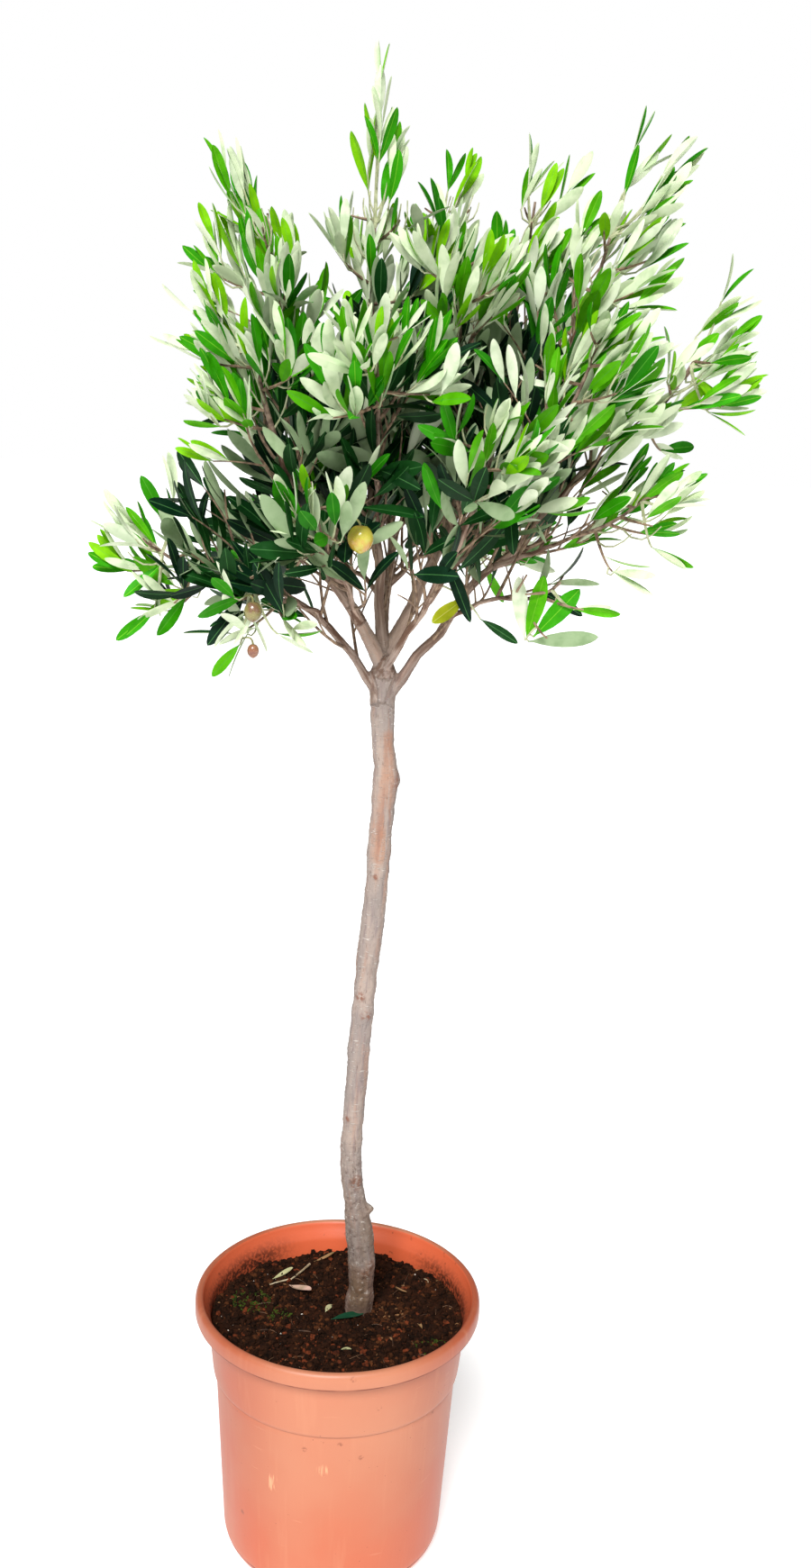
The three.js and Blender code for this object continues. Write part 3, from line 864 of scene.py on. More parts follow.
BOUGHS = (
    BoughRow(
        "left", "trunk", 0.975, 56, (14, 6), (-86, -60, 1130), 77,
        ((-171, -40, 1205), (-171, -50, 1155)),
    ),
    BoughRow(
        "centre_right", "trunk", 0.98, 64, (12.5, 5.5), (136, 40, 1246), 70,
        ((129, 40, 1344), (160, 40, 1320)), 0.35,
    ),
    BoughRow(
        "centre_left", "trunk", 0.985, 82, (10.5, 5), (4, 10, 1238), 72,
        ((5, 10, 1415), (24, 4, 1350)), 0.7,
    ),
    BoughRow(
        "low_left", "trunk", 0.84, 60, (9, 4.5), (-164, -10, 972), 65,
        ((-232, -10, 1005), (-184, -14, 902), (-154, -10, 1068)), fill=0.68, density=0.66,
    ),
    BoughRow(
        "low_right", "trunk", 0.835, 56, (10.5, 5), (270, 0, 1137), 73,
        ((312, 0, 1249), (332, 0, 1169), (312, 0, 1092)), fill=0.6, density=0.5,
    ),
    BoughRow("right_inner", "trunk", 0.93, 46, (7.5, 4.5), (106, -120, 1074), 64),
    BoughRow("back", "trunk", 0.9, 60, (11.5, 5.5), (15, 165, 1165), 78, ((0, 235, 1225),)),
    BoughRow(
        "left_upper", "left", 0.62, 74, (6.5, 4), (-82, 0, 1224), 70,
        ((-123, 0, 1322), (-128, -10, 1262)), 0.8,
    ),
    BoughRow("left_back", "left", 0.3, 50, (7, 4), (-105, 95, 1120), 76, ((-160, 130, 1190),)),
    BoughRow("front_low", "left", 0.22, 40, (6, 4), (-32, -110, 1027), 52),
    BoughRow("front_middle", "centre_left", 0.36, 48, (7, 4), (15, -130, 1140), 66),
    BoughRow("front_upper", "centre_right", 0.55, 60, (6.5, 4), (76, -65, 1200), 66),
    BoughRow(
        "right_upper", "centre_right", 0.42, 52, (7.5, 4.2), (197, -10, 1236), 70,
        ((223, -10, 1366), (262, -10, 1340)), 0.72, 0.7, 0.8,
    ),
    BoughRow("back_top", "centre_right", 0.6, 72, (6, 4), (62, 105, 1258), 70, ((72, 120, 1345),), 0.3),
    BoughRow("right_front", "right_inner", 0.5, 52, (5.5, 3.8), (181, -90, 1142), 68, density=0.8),
    BoughRow(
        "left_inner", "low_left", 0.45, 30, (5.5, 3.8), (-83, -70, 958), 59,
        ((-102, -72, 884), (-48, -72, 898)), fill=0.7, density=0.75,
    ),
    BoughRow(
        "right_lower", "low_right", 0.5, 24, (6, 3.8), (233, -20, 1030), 64,
        ((300, -20, 1038), (262, -24, 975)), fill=0.65, density=0.5,
    ),
    BoughRow(
        "right_foot", "low_right", 0.3, 26, (5.5, 3.8), (160, -60, 963), 46,
        ((212, -62, 936),), fill=0.0, density=0.1,
    ),
    BoughRow("back_left", "back", 0.28, 34, (6, 3.8), (-82, 118, 985), 64, ((-140, 150, 1000),)),
    BoughRow(
        "back_right", "back", 0.5, 46, (6.5, 4), (150, 135, 1150), 76,
        ((205, 170, 1215),), density=0.75,
    ),
    BoughRow("back_low", "back", 0.34, 32, (6, 3.8), (120, 125, 1005), 64, ((180, 150, 1010),)),
)

# The trunk's centre line: height, x, y and diameter.
TRUNK = (
    (224, 21, 12, 32), (244, 21, 12, 28), (268, 22, 12, 25), (300, 22, 11, 28), (328, 19, 10, 26.5),
    (360, 14, 9, 22), (410, 9, 8, 20.5), (530, 13, 5, 21.2), (671, 23, 2, 21.6), (786, 28.5, 0, 22.2),
    (822, 26, 0, 20.8), (866, 24, 0, 23.5), (888, 24, 0, 24), (900, 24, 0, 14),
)


class Rank(Enum):
    """A shoot's place in its mass, from the stem out to the finest twigs."""

    STEM = "stem"
    SIDE = "side shoot"
    LEADER = "leader"
    SPRIG = "sprig"
    INNER = "inner sprig"
    SPUR = "spur"


@dataclass(frozen=True)
class Habit:
    """How a rank of shoot bears.

    It gives the share of its length where its leaves start, the gap between their pairs, where its sprigs
    start and end, the gap between those, and their least and greatest length.
    """

    leaves_from: float
    pair_gap: float
    sprigs: Span = (1.0, 1.0)
    sprig_gap: float = 1000.0
    sprig_length: Span = (30.0, 50.0)


HABITS = {
    Rank.STEM: Habit(0.6, 17, (0.16, 0.95), 11, (38, 66)),
    Rank.SIDE: Habit(0.35, 16, (0.2, 0.9), 11, (34, 60)),
    Rank.LEADER: Habit(0.15, 34, (0.05, 0.38), 15, (34, 56)),
    Rank.SPRIG: Habit(0.22, 14),
    Rank.INNER: Habit(0.5, 13),
    Rank.SPUR: Habit(0.62, 13),
}


@dataclass
class Limb:
    """The trunk or a bough: its curve and its radius at each time along it."""

    name: str
    course: Course
    radius: Callable[[float], float]

    def girths(self) -> list[float]:
        """Its radius at each point of its curve."""
        last = len(self.course.points) - 1
        return [self.radius(i / last) for i in range(last + 1)]


@dataclass
class Shoot:
    """A twig: its curve, its radius at both ends, its rank, its mass, and whether it grows on a leader."""

    course: Course
    base: float
    tip: float
    rank: Rank
    mass: BoughRow
    on_leader: bool = False


class Age(Enum):
    """How old a leaf is, which gives its size and colour. In the crown the age follows the light, so the dark
    old leaves are partly painted shade and the bright fresh ones partly painted light.
    """

    FRESH = "fresh"
    GREEN = "green"
    OLD = "old"
    TURNING = "turning"


@dataclass(frozen=True)
class LeafHabit:
    """The leaves of one age.

    It gives their lengths, their width as a share of those, how far they open from the twig in degrees, how
    far they rise, the share that turn their upper side outward, how far they twist to either side in degrees,
    and how they curl and fold.
    """

    length: Span
    width: float
    opening: Span
    rise: float
    turned: float
    twist: float
    curl: Span
    fold: Span


LEAF_HABITS = {
    Age.FRESH: LeafHabit((38, 52), 0.24, (9, 28), 0.5, 0.4, 34, (-0.35, 0.4), (10, 24)),
    Age.GREEN: LeafHabit((42, 56), 0.25, (13, 36), 0.4, 0.6, 38, (-0.3, 0.5), (6, 20)),
    Age.OLD: LeafHabit((46, 65), 0.26, (24, 62), 0.05, 0.8, 36, (-0.1, 0.6), (2, 14)),
}


@dataclass(frozen=True)
class LoneLeaf:
    """A leaf by itself under the crown: its two ends, its age, its width and whether its back shows."""

    root: Row3
    tip: Row3
    age: Age
    width: float = 14.0
    back: bool = False
    curl: float = 0.2
    fold: float = 0.25


LONE_LEAVES = (
    LoneLeaf((92, -50, 963), (65, -56, 942), Age.TURNING, 13),
    LoneLeaf((69, -50, 1007), (99, -60, 944), Age.OLD, 12),
    LoneLeaf((106, -50, 946), (139, -58, 928), Age.OLD, 9),
    LoneLeaf((144, -62, 931), (134, -66, 986), Age.GREEN, 14, back=True),
    LoneLeaf((145, -62, 931), (158, -66, 986), Age.FRESH, 15),
    LoneLeaf((151, -62, 934), (188, -66, 976), Age.FRESH, 17),
    LoneLeaf((147, -62, 930), (206, -66, 936), Age.OLD, 14, back=True),
)


@dataclass(frozen=True)
class Olive:
    """One olive: its middle, its width, how much longer than wide it is, and its skin."""

    centre: Row3
    width: float
    long: float
    skin: FruitSkin


OLIVES = (
    Olive((4, -112, 1015), 21, 1.08, FruitSkin("olive_ripening", paint(196, 186, 70), paint(202, 152, 66))),
    Olive((-84, -88, 950), 15, 1.15, FruitSkin("olive_brown", paint(138, 128, 74), paint(120, 88, 66))),
    Olive((-85, -74, 915), 10, 1.2, FruitSkin("olive_red", paint(146, 96, 72), paint(110, 62, 54))),
)


@dataclass
class Leaf:
    """A leaf: its root, its heading, the direction its upper side faces, its size, its form and its spray."""

    root: Array
    along: Array
    face: Array
    length: float
    width: float
    curl: float
    fold: float
    spray: int


@dataclass
class Growth:
    """The tree's limbs, shoots and leaves, grown from the rows by the frame's rule."""

    crown_centre: Row3 = (45, 10, 1120)
    mass_entry: float = 0.7
    kink: float = 0.02
    side_shoots: int = 5
    leaf_spread: float = 14.0  # how far a leaf may reach into the next mass's space
    overreach: float = 13.0  # how far a leaf may reach out of its mass's sphere
    tip_leaf: float = 36.0  # how far the last leaves stand out beyond a leader's end
    spurs_below: float = 990.0  # twigs on the boughs are spurs up to this height
    sparse_below: float = 940.0  # and fewer up to this one
    bare_share: float = 0.15  # the share of spurs with no leaf at all
    wander: float = 3.6  # how far a bough strays at each crook
    crook_length: float = 27.0  # between a bough's crooks
    trunk_points: int = 240
    bough_points: int = 60
    shoot_seed: int = 100
    twig_seed: int = 500
    sprig_spread: Span = (34, 62)  # degrees between a sprig and its shoot
    twig_span: Span = (0.22, 0.97)  # the share of a bough that bears twigs
    twig_gap: Span = (9, 16)
    twig_length: Span = (36, 96)
    fork_shares: Span = (0.4, 0.7)  # where a twig may fork
    fork_spread: Span = (30, 60)
    tries: int = 3  # for a sprig or a leaf to find room
    dropped: float = 0.08  # the share of leaves that have fallen
    tip_sizes: Span = (0.84, 0.94)  # of the first two pairs
    tip_opening: Span = (6, 20)  # of the first pair
    turned_forward: float = 0.32  # the share of old leaves facing the back that are turned to the front
    fruit_berth: float = 8.0  # how far leaves stay off an olive's outline
    light_centre: Row3 = (45.0, 10.0, 1090.0)
    light_reach: Row3 = (285.0, 240.0, 260.0)
    light_scatter: float = 0.34
    leader_light: float = 0.5  # how much lighter a leader stands
    old_below: float = 0.17  # leaves are old in less light than this
    fresh_above: float = 0.68  # and fresh in more than this
    limbs: dict[str, Limb] = field(default_factory=dict)
    shoots: list[Shoot] = field(default_factory=list)
    leaves: dict[Age, list[Leaf]] = field(default_factory=lambda: {age: [] for age in Age})
    sprays: int = 0
    centres: Array = field(init=False)  # of the masses
    radii: Array = field(init=False)
    girths: list[float] = field(init=False)  # the limbs' radii at all their points
    wood: KDTree = field(init=False)  # which finds the nearest of those points

    def grow(self) -> None:
        """Grows everything, from the trunk out."""
        self.limbs["trunk"] = self.trunk()
        for number, row in enumerate(BOUGHS):
            self.limbs[row.name] = self.bough(row, Dice(number + 1))
        self.centres = np.array([row.centre for row in BOUGHS], float)
        self.radii = np.array([row.radius for row in BOUGHS], float)
        self.girths = [girth for limb in self.limbs.values() for girth in limb.girths()]
        self.wood = KDTree(len(self.girths))
        for number, point in enumerate(np.concatenate([limb.course.points for limb in self.limbs.values()])):
            self.wood.insert(point, number)
        self.wood.balance()
        for number, row in enumerate(BOUGHS):
            main = self.main_shoots(row, Dice(self.shoot_seed + number))
            later = Dice(self.twig_seed + number)
            self.shoots += main
            for shoot in main:
                self.branch(shoot, later)
            for twig in self.inner_twigs(row, later):
                self.shoots.append(twig)
                self.bear(twig, later)
        for lone in LONE_LEAVES:
            self.hang(lone)

    def hang(self, lone: LoneLeaf) -> None:
        """Adds a lone leaf, on a short sprig from the nearest twig or bough."""
        root, tip = np.array(lone.root, float), np.array(lone.tip, float)
        bark = np.array(self.wood.find(root)[0])
        points = np.concatenate([bark[None], *(shoot.course.points for shoot in self.shoots)])
        anchor = points[np.argmin(np.linalg.norm(points - root, axis=1))]
        sprig = Course(bezier((anchor, (anchor + root) / 2 + UP * 2.0, root), 8))
        nearest = min(BOUGHS, key=lambda row: math.dist(row.centre, lone.root))
        self.shoots.append(Shoot(sprig, 1.0, 0.7, Rank.SPRIG, nearest))
        self.sprays += 1
        along = unit(tip - root)
        toward = np.array((0.15, -1.0, 0.25))
        face = unit(toward - along * np.dot(toward, along))
        face = -face if lone.back else face
        length = float(np.linalg.norm(tip - root))
        leaf = Leaf(root, along, face, length, lone.width, lone.curl, lone.fold, self.sprays)
        self.leaves[lone.age].append(leaf)

    def trunk(self) -> Limb:
        """The trunk, on a uniform Catmull-Rom curve through its rows."""
        rows = np.array(TRUNK, float)
        knots = rows[:, [1, 2, 0]]
        knots = np.vstack([2 * knots[0] - knots[1], knots, 2 * knots[-1] - knots[-2]])
        points = []
        for place in np.linspace(0, len(rows) - 1, self.trunk_points):
            i = min(int(place), len(rows) - 2)
            t = place - i
            before, start, end, after = knots[i : i + 4]
            leave, arrive = (end - before) / 2, (after - start) / 2
            bend = 2 * t**3 - 3 * t**2
            points.append(
                start + (end - start) * -bend + leave * (t**3 - 2 * t**2 + t) + arrive * (t**3 - t**2)
            )
        widths = rows[:, 3] / 2

        def radius(time: float) -> float:
            """Half the trunk's thickness at a time along it."""
            return float(np.interp(time * (len(widths) - 1), np.arange(len(widths)), widths))

        return Limb("trunk", Course(np.array(points)), radius)

    def bough(self, row: BoughRow, dice: Dice) -> Limb:
        """A bough: an arc that leaves at its rise, ends in that angle's mirror and wanders on the way."""
        start, entry = self.limbs[row.parent].course.at(row.at), self.arrival(row)
        centre = np.array(row.centre, float)
        level = unit((centre - start) * (1, 1, 0))
        out = turned_to(level, UP, math.radians(row.rise))
        tip = centre - entry * self.mass_entry * row.radius
        reach = float(np.linalg.norm(tip - start))
        count = self.bough_points
        points = bezier((start, start + out * reach / 3, tip - entry * reach / 3, tip), count)
        time = np.linspace(0, 1, count)[:, None]
        first, second = dice.roll() * 2 * math.pi, dice.roll() * 2 * math.pi
        sway = self.kink * reach * np.sin(math.pi * time) ** 2
        points = points + np.cross(level, UP) * sway * np.sin(3 * math.pi * time + first)
        points = points + UP * 0.6 * sway * np.sin(5 * math.pi * time + second)
        corners = np.linspace(0, 1, max(3, round(reach / self.crook_length)) + 1)
        offsets = np.random.default_rng(dice.state).uniform(-1, 1, (len(corners), 3)) * self.wander
        crooks = np.array([np.interp(time[:, 0], corners, offset) for offset in offsets.T]).T
        points = points + crooks * np.sin(math.pi * time) ** 0.5
        foot, end = row.thick

        def radius(t: float) -> float:
            """Half the bough's thickness at a time along it, with a collar at its foot."""
            return (mix(foot, end, t**0.8) + 0.25 * foot * math.exp(-14 * t)) / 2

        return Limb(row.name, Course(points), radius)

    def arrival(self, row: BoughRow) -> Array:
        """The direction in which a bough enters its mass."""
        start = self.limbs[row.parent].course.at(row.at)
        chord = np.array(row.centre, float) - start
        level = unit(np.array((chord[0], chord[1], 0.0)))
        arrive = 2 * math.atan2(chord[2], math.hypot(chord[0], chord[1])) - math.radians(row.rise)
        return turned_to(level, UP, arrive)

    def inside(self, point: Array, row: BoughRow, spare: float) -> bool:
        """True where a point is nearer to this mass's sphere than to any other's, or within spare of that."""
        me = BOUGHS.index(row)
        power = ((point - self.centres) ** 2).sum(axis=1) - self.radii**2
        apart = 2 * np.linalg.norm(self.centres - self.centres[me], axis=1)
        apart[me] = 1.0
        lead = (power - power[me]) / apart
        lead[me] = 1e9
        return bool(lead.min() > -spare)

    def clear(self, point: Array, spare: float) -> bool:
        """True where a point is out of the wood by that much."""
        _, nearest, distance = self.wood.find(point)
        return distance > self.girths[nearest] + spare

    def main_shoots(self, row: BoughRow, dice: Dice) -> list[Shoot]:
        """The stem of a mass, its side shoots and its leaders, as the frame has them."""
        centre, arrival = np.array(row.centre, float), self.arrival(row)
        foot = self.limbs[row.name].course.points[-1] - arrival * 2.0
        end = centre + arrival * 0.3 * row.radius + UP * 0.4 * row.radius
        stem = Course(bezier((foot, foot + arrival * 0.6 * row.radius, end), 30))
        shoots = [Shoot(stem, row.thick[1] / 2, 1.1, Rank.STEM, row)]
        outward = unit(centre - np.array(self.crown_centre, float))
        turn = dice.roll() * 2 * math.pi
        for k in range(self.side_shoots):
            z = 1 - (2 * k + 1) / self.side_shoots
            angle, level = turn + k * GOLDEN_ANGLE, math.sqrt(1 - z * z)
            toward = np.array((level * math.cos(angle), level * math.sin(angle), z))
            toward = toward + 0.35 * outward + 0.15 * UP
            target = centre + unit(toward) * row.radius * dice.between(0.5, 0.75)
            start = stem.at(mix(0.85, 0.2, k / (self.side_shoots - 1)))
            shoots.append(Shoot(self.ascending(start, target), 1.7, 0.75, Rank.SIDE, row))
        for tip in row.leaders:
            start = stem.at(0.8)
            target = np.array(tip, float)
            target = target + unit(start - target) * self.tip_leaf
            shoots.append(Shoot(self.ascending(start, target), 1.8, 0.8, Rank.LEADER, row))
        inner = [s for s in shoots[1:] if all(self.inside(point, row, 0.0) for point in s.course.points[::5])]
        return shoots[:1] + inner

    @staticmethod
    def ascending(start: Array, target: Array) -> Course:
        """A curve that sets out low and turns up to its target."""
        way = target - start
        return Course(bezier((start, start + way * 0.55 - UP * 0.3 * abs(way[2]), target), 24))

    def branch(self, shoot: Shoot, dice: Dice) -> None:
        """Grows a shoot's sprigs and the leaves of all of them."""
        habit, course, mass = HABITS[shoot.rank], shoot.course, shoot.mass
        centre = np.array(mass.centre, float)
        on_leader = shoot.rank is Rank.LEADER
        angle = dice.roll() * 2 * math.pi
        distance = habit.sprigs[0] * course.length + dice.roll() * habit.sprig_gap * 0.5
        while distance < habit.sprigs[1] * course.length:
            angle += GOLDEN_ANGLE
            start, tangent = course.after(distance), course.heading(distance)
            out = aside_of(tangent, angle, SIDEWAYS, HAIR)
            way = turned_to(tangent, out, math.radians(dice.between(*self.sprig_spread)))
            length = dice.between(*habit.sprig_length) * mix(1.0, 0.7, distance / course.length)
            distance += habit.sprig_gap * dice.between(0.75, 1.3) / mass.density
            rise = mix(0.35, 0.65, self.light(start))
            for _ in range(self.tries):
                end = start + way * (1.02 - rise) * length + self.sweep(start) * rise * length
                near = on_leader or np.linalg.norm(end - centre) < mass.fill * mass.radius
                if near and self.inside(end, mass, 4.0) and self.clear(end, 3.0):
                    sprig = Course(bezier((start, start + way * 0.5 * length, end), 12))
                    self.shoots.append(Shoot(sprig, 1.0, 0.55, Rank.SPRIG, mass, on_leader))
                    self.bear(self.shoots[-1], dice)
                    break
                length *= 0.72
        self.bear(shoot, dice)

    def inner_twigs(self, row: BoughRow, dice: Dice) -> Iterator[Shoot]:
        """Thin twigs along a bough: spurs low down, leafy at their tips alone, and sprigs nearer its mass."""
        course = self.limbs[row.name].course
        share, last = self.twig_span
        angle = dice.roll() * 2 * math.pi
        while share < last:
            angle += GOLDEN_ANGLE
            start, tangent = course.at(share), course.heading(share * course.length)
            rank = Rank.SPUR if start[2] < self.spurs_below else Rank.INNER
            out = aside_of(tangent, angle, SLANTED)
            way, length = unit(tangent * 0.85 + out * 0.75 + UP * 0.3), dice.between(*self.twig_length)
            bend = np.array([dice.between(-0.16, 0.16) for _ in range(3)]) * length
            end = start + way * 0.72 * length + UP * 0.3 * length
            thinned = 1.6 if start[2] < self.sparse_below else 1.0
            share += dice.between(*self.twig_gap) / course.length * thinned
            if self.clear(end, 4.0) and self.boxed(end):
                line = Course(bezier((start, start + way * 0.45 * length + bend, end), 14))
                twig = Shoot(line, 1.7, 0.8, rank, row)
                yield twig
                yield from self.forks(twig, dice)

    def forks(self, twig: Shoot, dice: Dice) -> Iterator[Shoot]:
        """The one or two thinner twigs that a twig parts into."""
        for share in self.fork_shares[: 1 + int(dice.roll() * 2)]:
            start, tangent = twig.course.at(share), twig.course.heading(share * twig.course.length)
            angle, spread = dice.roll() * 2 * math.pi, math.radians(dice.between(*self.fork_spread))
            out = aside_of(tangent, angle, SLANTED)
            length = (1.05 - share) * twig.course.length * dice.between(0.7, 1.1)
            end = start + turned_to(tangent, out, spread) * length + UP * 0.2 * length
            if self.clear(end, 3.0) and self.boxed(end):
                line = Course(bezier((start, (start + end) / 2 + tangent * 0.1 * length, end), 8))
                yield Shoot(line, 1.0, 0.55, twig.rank, twig.mass)

    @staticmethod
    def sweep(point: Array) -> Array:
        """The way growth is drawn at a point: up, and outward near the crown's sides."""
        return unit(np.array(((point[0] + 10) / 250, (point[1] - 10) / 290, 1.0)))

    def light(self, point: Array) -> float:
        """How much light a point in the crown gets: 0 deep inside and 1 on the outside, sooner so on top.

        Height counts for less at the right, and the clump that hangs at the lower left is a little darker.
        """
        out = (point - np.array(self.light_centre)) / np.array(self.light_reach)
        hanging = smooth_step(-out[2], 0.1, 0.5) * smooth_step(-out[0], 0.2, 0.5)
        hanging = hanging * smooth_step(out[0], -0.85, -0.68)
        right = smooth_step(out[0], 0.25, 0.6)
        share = np.linalg.norm(out) + 0.3 * out[2] * (1 - right) + 0.04 * right - 0.24 * hanging
        return float(np.clip((share - 0.46) / 0.36, 0, 1))

    def age_by_light(self, shoot: Shoot, point: Array, dice: Dice) -> Age:
        """A leaf's age, by how far out and how high in the crown it grows, which is the light there: its
        colour is partly painted light and shade.
        """
        light = self.light(point) + dice.between(-self.light_scatter, self.light_scatter)
        if shoot.rank is Rank.LEADER:
            light += self.leader_light
        # spurs in the fork and leaves in little light get the dark old colours: partly painted shade
        if shoot.rank is Rank.SPUR or light < self.old_below:
            return Age.OLD
        return Age.FRESH if light > self.fresh_above else Age.GREEN

    def bear(self, shoot: Shoot, dice: Dice) -> None:
        """Sets a shoot's leaves in crossed pairs, from its tip down."""
        habit, course = HABITS[shoot.rank], shoot.course
        bare = self.bare_share if shoot.rank is Rank.SPUR else 1 - shoot.mass.density**0.5
        if shoot.rank is not Rank.LEADER and dice.roll() < bare:
            return
        self.sprays += 1
        turn = dice.roll() * math.pi
        age = self.age_by_light(shoot, course.points[-1], dice)
        distance, pair = 0.985 * course.length, 0
        while distance > habit.leaves_from * course.length:
            turn += math.pi / 2
            root, tangent = course.after(distance), course.heading(distance)
            for side in (0.0, math.pi):
                if pair > 0 and dice.roll() < self.dropped:
                    continue
                out = aside_of(tangent, turn + side + dice.between(-0.3, 0.3), SIDEWAYS, HAIR)
                self.set_leaf(shoot, root, tangent, out, age, pair, dice)
            pair += 1
            distance -= habit.pair_gap * dice.between(0.85, 1.2)

    def set_leaf(
        self, shoot: Shoot, root: Array, tangent: Array, out: Array, age: Age, pair: int,
        dice: Dice,
    ) -> None:
        """Adds one leaf, unless in every try it leaves its space, meets the wood or hides an olive.

        Args:
            shoot: the twig that bears it.
            root: where it starts.
            tangent: the twig's heading there.
            out: the side of the twig that it is on.
            age: its age.
            pair: the number of its pair, counted from the tip.
            dice: what its form is drawn by.
        """
        form, mass = LEAF_HABITS[age], shoot.mass
        size = self.tip_sizes[pair] if pair < len(self.tip_sizes) else 1.0
        free = shoot.rank in (Rank.LEADER, Rank.INNER, Rank.SPUR) or shoot.on_leader
        for _ in range(self.tries):
            opening = math.radians(dice.between(*(form.opening if pair else self.tip_opening)))
            along = unit(turned_to(tangent, out, opening) + self.sweep(root) * form.rise)
            face = turned_to(-out, tangent, opening)
            face = unit(face - along * np.dot(face, along))
            twist = dice.between(-form.twist, form.twist)
            twist = math.radians(twist + (180 if dice.roll() < form.turned else 0))
            face = turned_to(face, np.cross(along, face), twist)
            if age is Age.OLD and face[1] > 0.1 and dice.roll() < self.turned_forward:
                face = -face
            length = dice.between(*form.length) * size
            tip, middle = root + along * length, root + along * 0.5 * length
            far = np.linalg.norm(tip - np.array(mass.centre)) - mass.radius > self.overreach
            high = tip[2] > mass.centre[2] + mass.ceiling * mass.radius
            if (far or high) and not free:
                continue
            own = shoot.rank is Rank.INNER or self.inside(tip, mass, self.leaf_spread)
            if not (own and self.boxed(tip)):
                continue
            if not (self.clear(tip, 2.0) and self.clear(middle, 2.0)) or self.hides_fruit(middle, tip):
                continue
            width = length * form.width * dice.between(0.9, 1.12)
            curl, fold = dice.between(*form.curl), math.radians(dice.between(*form.fold))
            self.leaves[age].append(Leaf(root, along, face, length, width, curl, fold, self.sprays))
            return

    def hides_fruit(self, *points: Array) -> bool:
        """True where any of the points is before an olive or on it."""
        ahead = unit(np.array((0.03, -1.0, 0.08)))
        for olive in OLIVES:
            offset = np.array(points) - olive.centre
            reach = offset @ ahead
            aside = np.linalg.norm(offset - np.outer(reach, ahead), axis=1)
            if ((reach > -self.fruit_berth) & (aside < olive.width * 0.5 + self.fruit_berth)).any():
                return True
        return False

    @staticmethod
    def boxed(point: Array, spare: float = 6.0) -> bool:
        """True where a point is within the frame's own box, or out of it by less than spare."""
        low, high = (np.array(corner) / MM for corner in CAD_BOX)
        return bool((point > low - spare).all() and (point < high + spare).all())


# ---- The pot and its soil ----


